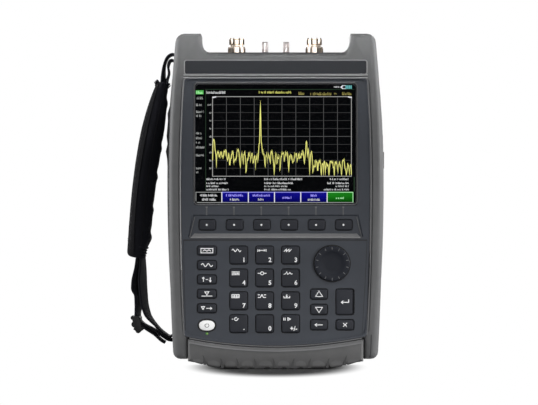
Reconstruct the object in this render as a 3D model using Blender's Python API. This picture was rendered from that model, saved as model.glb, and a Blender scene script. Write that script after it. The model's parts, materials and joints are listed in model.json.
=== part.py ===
# Handheld vector network analyzer, standing upright on its bottom bumper.
# Metres, +Z up, front towards -Y, origin at the middle of the foot.
import math

import bmesh
import bpy
from mathutils import Vector

# Fits
CUT = 0.0010            # how far a cutting form passes the face it cuts
CLEAR = 0.0003          # gap between pieces that touch or slide
SEAM = 0.0006           # visible seam round the bottom bumper
ROD_SIDES = 12          # facets of small round pieces

# Screen and front panel
SCREEN_WIDTH = 0.1404
SCREEN_HEIGHT = 0.1040
SCREEN_CORNER = 0.0030
LENS_BORDER = 0.0016
LENS_THICKNESS = 0.0015
MODULE_THICKNESS = 0.0070
PANEL_MARGIN = 0.0123   # screen side to panel side, at the widest height
PANEL_TOP_MARGIN = 0.0049
PANEL_THICKNESS = 0.0030
PANEL_RECESS = 0.0030
PANEL_CORNER = 0.0060
LIP_FLARE = 0.0016
LIP_DEPTH = 0.0026

# Case
SIDE_STEPS = 12         # facets up a plain side
GRIP_STEPS = 40         # facets up the side with finger swells
REAR_STEPS = 4
RIM_ROUND = 0.0045
RIM_DEPTH = 0.0055
REAR_ROUND = 0.0046
REAR_ROUND_DEPTH = 0.0100
GRIP_BLEND = 0.0060
RAIL_WIDTH = 0.0112     # panel side to bezel side
FOOT_TAPER = 0.0047      # narrowing of each side, belly to foot
SHOULDER_TAPER = 0.0067  # narrowing of each side, belly to the top
BELLY_Z = 0.1650
CASE_DEPTH = 0.0720
BEZEL_DEPTH = 0.0320
BEZEL_FRONT_WALL = 0.0080
BEZEL_WALL = 0.0040
LEDGE_WIDTH = 0.0016
SHELL_WALL = 0.0035
REAR_WALL = 0.0040
TOP_WALL = 0.0048
SILL = 0.0032
HORN_RISE = 0.0165
HORN_FLAT = 0.0143
HORN_CORNER = 0.0080
HORN_SLOPE = 0.0076
LEG_WIDTH = 0.0122
LEG_LIFT = 0.0085
LEG_CORNER = 0.0066
STRIP_HEIGHT = 0.0113
STRIP_THICKNESS = 0.0009
STRIP_SINK = 0.0003
STRIP_CORNER = 0.0012
STRIP_SIDE = 0.0105     # case side to the strip's end
STRIP_RIDGE = 0.0043
STRIP_TOP_MARGIN = 0.0075
GRIP_SWELL = 0.0023
GRIP_FALL = 2.5         # how late the swelling fades towards both ends
FINGER_SWELL = 0.0017
FINGER_COUNT = 3
FINGER_PITCH = 0.0160
FINGER_TOP_DROP = 0.0460   # top rail down to the first finger swell

# Bottom bumper
BUMPER_HEIGHT = 0.0185
BUMPER_BOW = 0.0075
BUMPER_PROUD = 0.0030
BUMPER_ROUND = 0.0032
BUMPER_BACK_INSET = 0.0020
FOOT_FLAT = 0.0500
FOOT_RISE = 0.0068
FOOT_CURVE = 1.3
TREAD_COUNT = 10
TREAD_WIDTH = 0.0036
TREAD_DEPTH = 0.0016
TREAD_PITCH = 0.0145

# Keys
KEY_RISE = 0.0016
KEY_TRAVEL = 0.0008
KEY_FLANGE = 0.0010
KEY_FLANGE_THICKNESS = 0.0010
KEY_EDGE = 0.0006
NUMBER_KEY_WIDTH = 0.0164
NUMBER_KEY_HEIGHT = 0.0166
NUMBER_COLUMN_GAP = 0.0063
NUMBER_ROW_GAP = 0.0034
NUMBER_KEY_CORNER = 0.0024
FUNCTION_KEY_WIDTH = 0.0176
FUNCTION_KEY_HEIGHT = 0.0089
FUNCTION_ROW_GAP = 0.0037
FUNCTION_KEY_COUNT = 5
FUNCTION_COLUMN_GAP = 0.0108
POWER_KEY_WIDTH = 0.0150
POWER_KEY_HEIGHT = 0.0090
POWER_KEY_ROUND = 0.48    # corner radius as a share of its height
ARROW_KEY_WIDTH = 0.0157
ARROW_KEY_HEIGHT = 0.0100
ARROW_ROW_GAP = 0.0034
ARROW_COLUMN_GAP = 0.0088
ENTER_KEY_WIDTH = 0.0165
ENTER_COLUMN_GAP = 0.0066
SMALL_KEY_CORNER = 0.0022
SOFTKEY_WIDTH = 0.0152
SOFTKEY_HEIGHT = 0.0098
SOFTKEY_GAP = 0.0087
SOFTKEY_COUNT = 6
SOFTKEY_TO_SCREEN = 0.0140
SOFTKEY_TO_KEYPAD = 0.0129
TRAY_DEPTH = 0.0010
TRAY_MARGIN = 0.0045
TRAY_TOP = 0.0030
TRAY_SLANT = 0.0036
KEYPAD_MARGIN = 0.0089  # panel's lower edge to the lowest keys, at the middle
POWER_KEY_GAP = 0.0060
LIGHT_RADIUS = 0.0011
LIGHT_FLANGE = 0.0003

# Knob and encoder
KNOB_DIAMETER = 0.0320
KNOB_HEIGHT = 0.0080
KNOB_FLUTES = 14
KNOB_FLUTE_DEPTH = 0.0008
KNOB_DISH_DEPTH = 0.0008
KNOB_EDGE = 0.0010
KNOB_BAND = 0.0052
KNOB_GAP = 0.0058
ENCODER_SIZE = 0.0130
ENCODER_BUSH_RADIUS = 0.0033
ENCODER_BUSH_PROUD = 0.0015
ENCODER_SHAFT_RADIUS = 0.0030
ENCODER_SHAFT_LENGTH = 0.0060

# Boards and modules inside
MAT_THICKNESS = 0.0020
BOARD_THICKNESS = 0.0016
BOARD_EDGE = 0.0045     # panel side to the keypad board's side
BOARD_SPACE = 0.0100
BOARD_POST_RADIUS = 0.0030
BOARD_BOSS_RADIUS = 0.0022
MAIN_BOARD_HALF_WIDTH = 0.0680
MAIN_BOARD_BOTTOM = 0.0420
RF_HALF_WIDTH = 0.0480
RF_HEIGHT = 0.0660
RF_DEPTH = 0.0340
RF_DROP = 0.0100         # top wall down to the module

# Ports on top
PLATE_HALF_WIDTH = 0.0520
PLATE_DEPTH = 0.0300
PLATE_THICKNESS = 0.0025
PLATE_FRONT_GAP = 0.0037    # case seam to the plate
PLATE_LIP = 0.0030
PORT_SPREAD = 0.0346
PORT_RADIUS = 0.0078
PORT_NUT_RADIUS = 0.0088
PORT_NUT_HEIGHT = 0.0086
PORT_HEIGHT = 0.0158
PORT_BORE = 0.0052
PORT_PIN = 0.0015
PORT_EDGE = 0.0005
PORT_TAIL_RADIUS = 0.0045
THREAD_DEPTH = 0.0005
PORT_THREADS = 4
PORT_SIDES = 20
SMALL_PORT_SPREAD = 0.0094
SMALL_PORT_RADIUS = 0.0032
SMALL_PORT_NUT_RADIUS = 0.0046
SMALL_PORT_NUT_HEIGHT = 0.0040
SMALL_PORT_HEIGHT = 0.0118
SMALL_PORT_BORE = 0.0022
SMALL_PORT_PIN = 0.0007
SMALL_PORT_TAIL_RADIUS = 0.0024
SMALL_PORT_THREADS = 4

# Battery, its door, the tilt bail and the side port door
BATTERY_WIDTH = 0.1220
BATTERY_HEIGHT = 0.0660
BATTERY_DEPTH = 0.0200
BATTERY_CENTER_X = 0.0090
BAY_WALL = 0.0020
BAY_ROOM = 0.0010
DOOR_BOTTOM = 0.0520
DOOR_THICKNESS = 0.0034
DOOR_OVERLAP = 0.0030
DOOR_TONGUE = 0.0016
DOOR_TONGUE_THICKNESS = 0.0012
BAIL_HALF_WIDTH = 0.0560
BAIL_LENGTH = 0.0960
BAIL_THICKNESS = 0.0036
BAIL_WIDTH = 0.0100
BAIL_CORNER = 0.0090
BAIL_TOP_DROP = 0.0420      # top rail down to the bail's pivot
BAIL_PIN_RADIUS = 0.0013
BAIL_PIN_LENGTH = 0.0030
BAIL_ROOM = 0.0009
BAIL_SIDE = 0.0006
BAIL_SINK = 0.0005
BAIL_SCOOP = 0.0180
SIDE_DOOR_HEIGHT = 0.0460
SIDE_DOOR_DEPTH = 0.0200
SIDE_DOOR_THICKNESS = 0.0026
SIDE_DOOR_BOTTOM = 0.1600
SIDE_DOOR_SEAM_GAP = 0.0065
SIDE_DOOR_SINK = 0.0007
SIDE_BAY_DEPTH = 0.0100
SIDE_BAY_BORDER = 0.0030
HINGE_ROOM = 0.0005

# Case screws
SCREW_RADIUS = 0.0015
SCREW_HEAD_RADIUS = 0.0032
SCREW_HEAD_HEIGHT = 0.0024
SCREW_SINK = 0.0080
SCREW_ENGAGE = 0.0120
SCREW_BOSS_RADIUS = 0.0036
SCREW_EDGE = 0.0064
SCREW_LOW_Z = 0.0420
SCREW_TOP_DROP = 0.0180

# Hand strap on the left side
WEB_WIDTH = 0.0240
WEB_THICKNESS = 0.0020
WEB_STEPS = 3
STRAP_Y = 0.0120
STRAP_PIN_RADIUS = 0.0020
STRAP_PIN_GRIP = 0.0025
STRAP_PIN_ROOM = 0.0001
STRAP_SLOT_SIDE = 0.0006
STRAP_SLOT_DEPTH = 0.0050
STRAP_SLOT_HALF = 0.0063
STRAP_TWIST = math.radians(24)
STRAP_TWIST_FROM = 0.0260
PAD_WIDTH = 0.0420
PAD_THICKNESS = 0.0200
PAD_END_WIDTH = 0.0290
PAD_TOP_THICKNESS = 0.0095
PAD_LOW_THICKNESS = 0.0185
PAD_BOW = 0.0044
PAD_END_GAP = 0.0009
PAD_STEPS = 14
PAD_SIDES = 16
PAD_CROWN = 0.5
PAD_FLATNESS = (0.8, 0.6)   # squareness of its section, in thickness and width
PAD_CHANNEL_DEPTH = 0.0016
PAD_CHANNEL_INSET = 0.0160
SLIDER_LENGTH = 0.0110
SLIDER_WALL = 0.0026
SLIDER_ROOM = 0.0006
UPPER_PIN_SINK = 0.0028     # case side to pin
UPPER_PIN_DROP = 0.0048     # top rail to pin
LOWER_PIN_SINK = 0.0030
LOWER_PIN_Z = 0.0266
# Webbing routes beside the case, as offsets from their pins; each turns round its pin in between
UPPER_OUT = ((-0.0175, -0.0192), (-0.0145, -0.0110), (-0.0100, -0.0024), (-0.0047, 0.0024))
UPPER_BACK = ((-0.0049, -0.0044), (-0.0090, -0.0084), (-0.0121, -0.0145), (-0.0137, -0.0192))
LOWER_OUT = (
    (-0.0317, 0.0708), (-0.0319, 0.0594), (-0.0311, 0.0494), (-0.0291, 0.0394), (-0.0253, 0.0294),
    (-0.0201, 0.0174), (-0.0137, 0.0086), (-0.0060, 0.0040),
)
LOWER_BACK = (
    (-0.0065, -0.0028), (-0.0165, 0.0004), (-0.0255, 0.0034), (-0.0313, 0.0066), (-0.0337, 0.0119),
    (-0.0341, 0.0174), (-0.0343, 0.0234), (-0.0347, 0.0334), (-0.0355, 0.0454), (-0.0361, 0.0564),
    (-0.0361, 0.0664),
)
SLIDER_OFFSET = (-0.0341, 0.0174)

# Widths
panel_half = SCREEN_WIDTH / 2 + PANEL_MARGIN
case_half = panel_half + RAIL_WIDTH
number_pitch_x = NUMBER_KEY_WIDTH + NUMBER_COLUMN_GAP
keypad_span = (
    FUNCTION_KEY_WIDTH + FUNCTION_COLUMN_GAP + 2 * number_pitch_x + NUMBER_KEY_WIDTH
    + ARROW_COLUMN_GAP + ARROW_KEY_WIDTH + ENTER_COLUMN_GAP + ENTER_KEY_WIDTH
)
function_x = -keypad_span / 2 + FUNCTION_KEY_WIDTH / 2
number_x = function_x + FUNCTION_KEY_WIDTH / 2 + FUNCTION_COLUMN_GAP + NUMBER_KEY_WIDTH / 2
arrow_x = number_x + 2 * number_pitch_x + NUMBER_KEY_WIDTH / 2 + ARROW_COLUMN_GAP + ARROW_KEY_WIDTH / 2
enter_x = arrow_x + ARROW_KEY_WIDTH / 2 + ENTER_COLUMN_GAP + ENTER_KEY_WIDTH / 2
knob_x = (arrow_x + enter_x) / 2
softkey_pitch = SOFTKEY_WIDTH + SOFTKEY_GAP

# Heights, stacked from the foot
panel_bottom = BUMPER_HEIGHT + SEAM + SILL
keypad_bottom = panel_bottom + KEYPAD_MARGIN
corner_rise = BUMPER_BOW * (keypad_span / 2 / panel_half) ** 2
light_z = panel_bottom + corner_rise + LEDGE_WIDTH + CLEAR + LIGHT_FLANGE + LIGHT_RADIUS
small_row_bottom = light_z + LIGHT_RADIUS + LIGHT_FLANGE + CLEAR + KEY_FLANGE
number_pitch_z = NUMBER_KEY_HEIGHT + NUMBER_ROW_GAP
number_top = keypad_bottom + 3 * number_pitch_z + NUMBER_KEY_HEIGHT
function_pitch = FUNCTION_KEY_HEIGHT + FUNCTION_ROW_GAP
function_bottom = small_row_bottom + POWER_KEY_HEIGHT + POWER_KEY_GAP
function_top = function_bottom + FUNCTION_KEY_COUNT * function_pitch - FUNCTION_ROW_GAP
arrow_pitch = ARROW_KEY_HEIGHT + ARROW_ROW_GAP
arrow_top = small_row_bottom + 2 * arrow_pitch + ARROW_KEY_HEIGHT
knob_z = arrow_top + KNOB_GAP + KNOB_DIAMETER / 2
keypad_top = max(number_top, function_top, knob_z + KNOB_DIAMETER / 2)
softkey_z = keypad_top + SOFTKEY_TO_KEYPAD + SOFTKEY_HEIGHT / 2
screen_bottom = softkey_z + SOFTKEY_HEIGHT / 2 + SOFTKEY_TO_SCREEN
screen_z = screen_bottom + SCREEN_HEIGHT / 2
panel_top = screen_bottom + SCREEN_HEIGHT + PANEL_TOP_MARGIN
strip_z = panel_top + STRIP_RIDGE + STRIP_HEIGHT / 2
rail_top = panel_top + STRIP_RIDGE + STRIP_HEIGHT + STRIP_TOP_MARGIN
case_height = rail_top + HORN_RISE

# Depths, from the front
y_rim = -CASE_DEPTH / 2
y_rear = CASE_DEPTH / 2
y_panel = y_rim + PANEL_RECESS
y_panel_back = y_panel + PANEL_THICKNESS
y_flange = y_panel_back + CLEAR
y_flange_back = y_flange + KEY_FLANGE_THICKNESS
y_mat = y_flange_back + KEY_TRAVEL + CLEAR
y_board = y_mat + MAT_THICKNESS + CLEAR
y_board_back = y_board + BOARD_THICKNESS
y_module_back = y_flange + MODULE_THICKNESS
y_front_wall = y_rim + BEZEL_FRONT_WALL
y_seam = y_rim + BEZEL_DEPTH
y_shell = y_seam + CLEAR
y_main_board = max(y_board_back, y_module_back) + BOARD_SPACE
y_main_board_back = y_main_board + BOARD_THICKNESS
y_door = y_rear - DOOR_THICKNESS
y_bay = y_door - CLEAR - BATTERY_DEPTH - BAY_ROOM
y_plate = y_shell + PLATE_FRONT_GAP
y_port = y_plate + PLATE_DEPTH / 2
y_screw_head = y_rear - SCREW_SINK
y_screw_seat = y_screw_head - SCREW_HEAD_HEIGHT

y_shaft_end = y_panel - ENCODER_SHAFT_LENGTH

# Places of the inner modules, the doors and the bail
lens_width = SCREEN_WIDTH + 2 * LENS_BORDER
lens_height = SCREEN_HEIGHT + 2 * LENS_BORDER
rf_top = rail_top - TOP_WALL - RF_DROP
battery_left = BATTERY_CENTER_X - BATTERY_WIDTH / 2
battery_right = BATTERY_CENTER_X + BATTERY_WIDTH / 2
bay_low = DOOR_BOTTOM + DOOR_OVERLAP
bay_high = bay_low + BATTERY_HEIGHT + 2 * BAY_ROOM
door_top = bay_high + DOOR_OVERLAP
bail_z = rail_top - BAIL_TOP_DROP
y_bail = y_rear - BAIL_SINK - BAIL_THICKNESS / 2
bail_floor = y_bail - BAIL_THICKNESS / 2 - BAIL_ROOM
bail_low = bail_z - BAIL_LENGTH - BAIL_ROOM
bail_high = bail_z + BAIL_THICKNESS / 2 + 2 * BAIL_ROOM
scoop_low = bail_low - BAIL_SCOOP / 2
y_side = y_shell + SIDE_DOOR_SEAM_GAP
side_hinge_y = y_side + SIDE_DOOR_DEPTH - SIDE_DOOR_THICKNESS / 2
side_outer = case_half + GRIP_SWELL - SIDE_DOOR_SINK
side_floor = side_outer - SIDE_DOOR_THICKNESS - CLEAR
side_door_top = SIDE_DOOR_BOTTOM + SIDE_DOOR_HEIGHT
side_low = SIDE_DOOR_BOTTOM - BAY_WALL
side_high = side_door_top + BAY_WALL

# Colour, roughness and metallic value of each finish
FINISHES = {
    "grey": ((0.150, 0.150, 0.158), 0.55, 0.0),
    "rubber": ((0.115, 0.116, 0.122), 0.75, 0.0),
    "panel": ((0.058, 0.060, 0.068), 0.50, 0.0),
    "key": ((0.026, 0.027, 0.031), 0.60, 0.0),
    "white": ((0.800, 0.800, 0.790), 0.40, 0.0),
    "glass": ((0.010, 0.011, 0.013), 0.05, 0.0),
    "board": ((0.020, 0.140, 0.060), 0.50, 0.0),
    "silver": ((0.620, 0.600, 0.560), 0.28, 1.0),
    "steel": ((0.450, 0.450, 0.460), 0.35, 1.0),
    "black": ((0.018, 0.018, 0.020), 0.60, 0.0),
    "webbing": ((0.012, 0.012, 0.013), 0.85, 0.0),
    "light": ((0.100, 0.550, 0.120), 0.30, 0.0),
}


def finished(item, finish):
    color, roughness, metallic = FINISHES[finish]
    material = bpy.data.materials.new(item.name + "_" + finish)
    material.use_nodes = True
    shader = material.node_tree.nodes["Principled BSDF"]
    shader.inputs["Base Color"].default_value = (*color, 1.0)
    shader.inputs["Roughness"].default_value = roughness
    shader.inputs["Metallic"].default_value = metallic
    material.diffuse_color = (*color, 1.0)
    item.data.materials.append(material)
    return item


def meshed(name, build, origin=(0.0, 0.0, 0.0)):
    # An object at its origin, whose mesh the build function fills in world coordinates
    grid = bmesh.new()
    build(grid)
    bmesh.ops.recalc_face_normals(grid, faces=grid.faces)
    bmesh.ops.translate(grid, verts=grid.verts, vec=-Vector(origin))
    mesh = bpy.data.meshes.new(name)
    grid.to_mesh(mesh)
    grid.free()
    item = bpy.data.objects.new(name, mesh)
    item.location = origin
    item.parent = bpy.data.objects["analyzer"]
    bpy.context.scene.collection.objects.link(item)
    return item


def skin(grid, rings):
    # A closed skin over rings with equal counts of points, capped at both ends
    loops = [[grid.verts.new(point) for point in ring] for ring in rings]
    for low, high in zip(loops, loops[1:]):
        for i in range(len(low)):
            j = (i + 1) % len(low)
            grid.faces.new((low[i], low[j], high[j], high[i]))
    grid.faces.new(loops[0])
    grid.faces.new(loops[-1])


def fill_box(grid, low, high):
    corners = [(low[0], low[1]), (high[0], low[1]), (high[0], high[1]), (low[0], high[1])]
    skin(grid, [[(x, y, z) for x, y in corners] for z in (low[2], high[2])])


def fill_prism(grid, outline, front, back):
    skin(grid, [[(x, y, z) for x, z in outline] for y in (front, back)])


def fill_loft(grid, stations):
    # Stations pair a depth with an outline
    skin(grid, [[(x, y, z) for x, z in outline] for y, outline in stations])


def fill_turned(grid, profile, center, axis, segments):
    # A turned body: profile pairs a radius with a distance along the axis
    turn = Vector((0, 0, 1)).rotation_difference(Vector(axis)).to_matrix()
    rings = []
    for radius, along in profile:
        angles = [math.tau * i / segments for i in range(segments)]
        ring = [Vector((radius * math.cos(a), radius * math.sin(a), along)) for a in angles]
        rings.append([turn @ point + Vector(center) for point in ring])
    skin(grid, rings)


def boxes(name, spans):
    def build(grid):
        for low, high in spans:
            fill_box(grid, low, high)
    return meshed(name, build)


def rods(name, spans):
    # Spans give a radius, a start and an end of each rod
    def build(grid):
        for radius, start, end in spans:
            axis = Vector(end) - Vector(start)
            fill_turned(grid, ((radius, 0.0), (radius, axis.length)), start, axis, ROD_SIDES)
    return meshed(name, build)


def prism(name, outline, front, back, origin=(0.0, 0.0, 0.0)):
    return meshed(name, lambda grid: fill_prism(grid, outline, front, back), origin)


def shaped(target, tool, operation="DIFFERENCE", crossing=False):
    modifier = target.modifiers.new(tool.name, "BOOLEAN")
    modifier.operation = operation
    modifier.solver = "EXACT"
    modifier.use_self = crossing
    modifier.object = tool
    tool.hide_render = True
    tool.display_type = "WIRE"


def smoothed(item, angle=35):
    item.data.shade_smooth()
    item.data.set_sharp_from_angle(angle=math.radians(angle))
    return item


def arc(center, radius, start, end, steps):
    angles = [math.radians(start + (end - start) * i / steps) for i in range(steps + 1)]
    return [(center[0] + radius * math.cos(a), center[1] + radius * math.sin(a)) for a in angles]


def rounded_rectangle(center, width, height, corner, steps=2):
    x, z = width / 2 - corner, height / 2 - corner
    points = []
    for turn, (sx, sz) in enumerate(((1, 1), (-1, 1), (-1, -1), (1, -1))):
        middle = (center[0] + sx * x, center[1] + sz * z)
        points += arc(middle, corner, 90 * turn, 90 * turn + 90, steps)
    return points


def inset(outline, distance):
    # A counter-clockwise outline moved inwards by the distance, point by point
    moved = []
    for i, point in enumerate(outline):
        before, here = Vector(outline[i - 1]), Vector(point)
        after = Vector(outline[(i + 1) % len(outline)])
        a, b = (here - before).normalized(), (after - here).normalized()
        normal = Vector((-a.y - b.y, a.x + b.x))
        normal = normal / max(0.6, 1.0 + a.dot(b))
        moved.append(tuple(here + normal * distance))
    return moved


def smooth_path(points, steps):
    # A smooth curve through the points
    path = []
    ends = [points[0], *points, points[-1]]
    for a, b, c, d in zip(ends, ends[1:], ends[2:], ends[3:]):
        a, b, c, d = map(Vector, (a, b, c, d))
        for i in range(steps):
            t = i / steps
            path.append(0.5 * (2 * b + (c - a) * t + (2 * a - 5 * b + 4 * c - d) * t * t
                               + (3 * b - a - 3 * c + d) * t ** 3))
    return path + [Vector(points[-1])]


# Case outlines
def half_width(z):
    # Half-width of the case at a height, widest at the belly
    if z < BELLY_Z:
        return case_half - FOOT_TAPER * ((BELLY_Z - z) / BELLY_Z) ** 2
    return case_half - SHOULDER_TAPER * ((z - BELLY_Z) / (case_height - BELLY_Z)) ** 2


notch_half = half_width(LEG_LIFT) - LEG_WIDTH
bumper_half = notch_half - SEAM


strip_half = half_width(strip_z) - STRIP_SIDE
board_half = half_width(panel_bottom) - RAIL_WIDTH - BOARD_EDGE
upper_pin = (UPPER_PIN_SINK - half_width(rail_top - UPPER_PIN_DROP), rail_top - UPPER_PIN_DROP)
lower_pin = (LOWER_PIN_SINK - half_width(LOWER_PIN_Z), LOWER_PIN_Z)


def bow(x):
    # Height of the bumper's bowed top edge
    return BUMPER_HEIGHT + BUMPER_BOW * (x / bumper_half) ** 2


board_low = bow(board_half) + SEAM + SILL + BOARD_BOSS_RADIUS / 2


def grip(z, left):
    # Swelling of the rear shell's sides, with finger swells on the left
    rise = max(0.0, 1.0 - abs((z - BELLY_Z) / (case_height - BELLY_Z)) ** GRIP_FALL)
    top = rail_top - FINGER_TOP_DROP
    place = (top - z) / FINGER_PITCH
    finger = abs(math.sin(math.pi * place)) if left and 0 < place < FINGER_COUNT else 0.0
    return GRIP_SWELL * rise + FINGER_SWELL * finger


def mirrored(right, left):
    return right + [(-x, z) for x, z in reversed(left)]


def case_half_outline(swell, left, side_steps):
    low, high = LEG_LIFT + LEG_CORNER, case_height - HORN_CORNER
    points = [(notch_half * i / 6, bow(notch_half * i / 6) + SEAM) for i in range(1, 7)]
    points.append((notch_half, LEG_LIFT))
    points += arc((half_width(low) - LEG_CORNER, low), LEG_CORNER, -90, 0, 4)
    for i in range(1, side_steps):
        z = low + (high - low) * i / side_steps
        points.append((half_width(z) + swell * grip(z, left), z))
    horn = half_width(high) - HORN_CORNER
    points += arc((horn, high), HORN_CORNER, 0, 90, 4)
    inner = horn - HORN_FLAT
    points.append((inner, case_height))
    slope = HORN_RISE - HORN_CORNER / 3
    for i in range(6):
        angle = math.pi / 2 * i / 5
        x = inner - HORN_SLOPE * (1 - math.cos(angle))
        points.append((x, rail_top + slope * (1 - math.sin(angle))))
    return points


def case_outline(swell=0.0, right_steps=SIDE_STEPS, left_steps=SIDE_STEPS):
    right = case_half_outline(swell, False, right_steps)
    left = case_half_outline(swell, True, left_steps)
    return mirrored(right, left)


def front_outline(side, lift, top, corner=PANEL_CORNER):
    # An outline inside the case: sides follow the case, the lower edge follows the bumper
    edge = half_width(bow(notch_half) + lift) - side - corner
    points = [(edge * i / 6, bow(edge * i / 6) + lift) for i in range(1, 6)]
    low = bow(edge) + lift + corner
    points += arc((edge, low), corner, -90, 0, 3)
    high = top - corner
    for i in range(1, 10):
        z = low + (high - low) * i / 10
        points.append((half_width(z) - side, z))
    points += arc((half_width(high) - side - corner, high), corner, 0, 90, 3)
    return mirrored(points, points)


# Case pieces
def rim_stations(outline, front, depth, round_in, steps=3):
    # A rounded front edge, from the face back to the full outline
    angles = [math.pi / 2 * i / steps for i in range(steps + 1)]
    return [(front + depth * (1 - math.cos(a)), inset(outline, round_in * (1 - math.sin(a)))) for a in angles]


def front_bezel():
    stations = rim_stations(case_outline(), y_rim, RIM_DEPTH, RIM_ROUND)
    stations.append((y_seam, case_outline()))
    bezel = meshed("front_bezel", lambda grid: fill_loft(grid, stations))
    lift = SEAM + SILL
    cavity = front_outline(BEZEL_WALL, lift, rail_top - TOP_WALL)
    shaped(bezel, prism("bezel_cavity", cavity, y_front_wall, y_seam + CUT))
    pocket = front_outline(RAIL_WIDTH - CLEAR, lift - CLEAR, panel_top + CLEAR)
    flared = [(y_rim - CUT, inset(pocket, -2 * LIP_FLARE)), (y_rim + LIP_DEPTH, pocket)]
    flared.append((y_flange, pocket))
    shaped(bezel, meshed("bezel_pocket", lambda grid: fill_loft(grid, flared)))
    opening = front_outline(RAIL_WIDTH + LEDGE_WIDTH, lift + LEDGE_WIDTH, panel_top - LEDGE_WIDTH)
    shaped(bezel, prism("bezel_opening", opening, y_rim, y_front_wall + CUT))
    recess = rounded_rectangle((0, strip_z), 2 * (strip_half + CLEAR), STRIP_HEIGHT + 2 * CLEAR, STRIP_CORNER)
    depth = STRIP_SINK + STRIP_THICKNESS + CLEAR
    shaped(bezel, prism("strip_recess", recess, y_rim - CUT, y_rim + depth))
    front, back = y_front_wall - CUT, y_seam - CLEAR
    bosses = [(SCREW_BOSS_RADIUS, (x, front, z), (x, back, z)) for x, z in screw_places()]
    shaped(bezel, rods("bezel_bosses", bosses), "UNION")
    tip = y_seam - SCREW_ENGAGE - CLEAR
    holes = [(SCREW_RADIUS + CLEAR, (x, tip, z), (x, y_seam + CUT, z)) for x, z in screw_places()]
    shaped(bezel, rods("bezel_screw_holes", holes))
    return finished(smoothed(bezel), "grey")


def screw_places():
    heights = (SCREW_LOW_Z, rail_top - SCREW_TOP_DROP)
    return [(side * (half_width(z) - SCREW_EDGE), z) for z in heights for side in (-1, 1)]


def shell_form(name):
    # The rear shell's outer form: rounded behind, with swollen grips at the sides
    stations = [(y_shell, case_outline(0.0, SIDE_STEPS, GRIP_STEPS))]
    stations.append((y_shell + GRIP_BLEND, case_outline(1.0, SIDE_STEPS, GRIP_STEPS)))
    for i in range(REAR_STEPS + 1):
        a = math.pi / 2 * i / REAR_STEPS
        outline = case_outline(math.cos(a), SIDE_STEPS, GRIP_STEPS)
        depth = y_rear - REAR_ROUND_DEPTH * (1 - math.sin(a))
        stations.append((depth, inset(outline, REAR_ROUND * (1 - math.cos(a)))))
    return meshed(name, lambda grid: fill_loft(grid, stations))


def shell_cavity():
    outline = front_outline(SHELL_WALL, SEAM + SILL, rail_top - TOP_WALL)
    stations = [(y_shell - CUT, outline)]
    for i in range(REAR_STEPS + 1):
        a = math.pi / 2 * i / REAR_STEPS
        depth = y_rear - REAR_WALL - REAR_ROUND_DEPTH * (1 - math.sin(a))
        stations.append((depth, inset(outline, REAR_ROUND * (1 - math.cos(a)))))
    return meshed("shell_cavity", lambda grid: fill_loft(grid, stations))


def strap_slot(pin):
    # The slot in the case side that holds a strap pin, as two corners
    half = WEB_WIDTH / 2 + STRAP_SLOT_SIDE
    low = (-2 * case_half, STRAP_Y - half, pin[1] - STRAP_SLOT_HALF)
    high = (pin[0] + STRAP_SLOT_DEPTH, STRAP_Y + half, pin[1] + STRAP_SLOT_HALF)
    return low, high


def shell_blocks():
    # Walls inside the shell round the battery bay, the bail recess, the side bay and the strap slots
    inner = y_rear - REAR_WALL + CUT
    wall = BAY_ROOM + BAY_WALL
    spans = [((battery_left - wall, y_bay - BAY_WALL, bay_low - BAY_WALL),
              (battery_right + wall, inner, bay_high + BAY_WALL))]
    reach = BAIL_HALF_WIDTH + BAIL_PIN_LENGTH + BAY_WALL
    spans.append(((-reach, bail_floor - BAY_WALL, scoop_low - BAY_WALL), (reach, inner, bail_high + BAY_WALL)))
    spans.append(((side_floor - SIDE_BAY_DEPTH - BAY_WALL, y_side, side_low),
                  (side_floor + CUT, side_hinge_y, side_high)))
    for pin in (upper_pin, lower_pin):
        low, high = strap_slot(pin)
        spans.append(((pin[0] - CUT, low[1] - BAY_WALL, low[2] - BAY_WALL),
                      (high[0] + BAY_WALL, high[1] + STRAP_PIN_GRIP, high[2] + BAY_WALL)))
    return [boxes("shell_block_%d" % (i + 1), [span]) for i, span in enumerate(spans)]


def shell_posts():
    rear = y_rear - REAR_WALL + CUT
    posts = [(BOARD_POST_RADIUS, (x, y_main_board_back + CLEAR, z), (x, rear, z)) for x, z in post_places()]
    bosses = []
    for x, z in screw_places():
        bosses.append((SCREW_BOSS_RADIUS, (x, y_shell + CLEAR, z), (x, y_screw_seat, z)))
    return rods("shell_posts", posts + bosses)


def post_places():
    side = MAIN_BOARD_HALF_WIDTH - BOARD_POST_RADIUS - BAY_WALL
    heights = (bay_high + BAY_WALL + 2 * BOARD_POST_RADIUS, rf_top - 2 * BOARD_POST_RADIUS)
    return [(x, z) for x in (-side, side) for z in heights]


def door_prism(name, gap, right):
    # The battery door's section, with its two tongues, drawn along X
    tongue, back = DOOR_TONGUE + gap, y_door + DOOR_TONGUE_THICKNESS + gap
    low, high, front = DOOR_BOTTOM - gap, door_top + gap, y_door - gap
    section = ((front, low - tongue), (back, low - tongue), (back, low), (2 * y_rear, low),
               (2 * y_rear, high), (back, high), (back, high + tongue), (front, high + tongue))
    left = battery_left - BAY_ROOM - DOOR_OVERLAP - gap
    return meshed(name, lambda grid: skin(grid, [[(x, y, z) for y, z in section] for x in (left, right)]))


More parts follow.
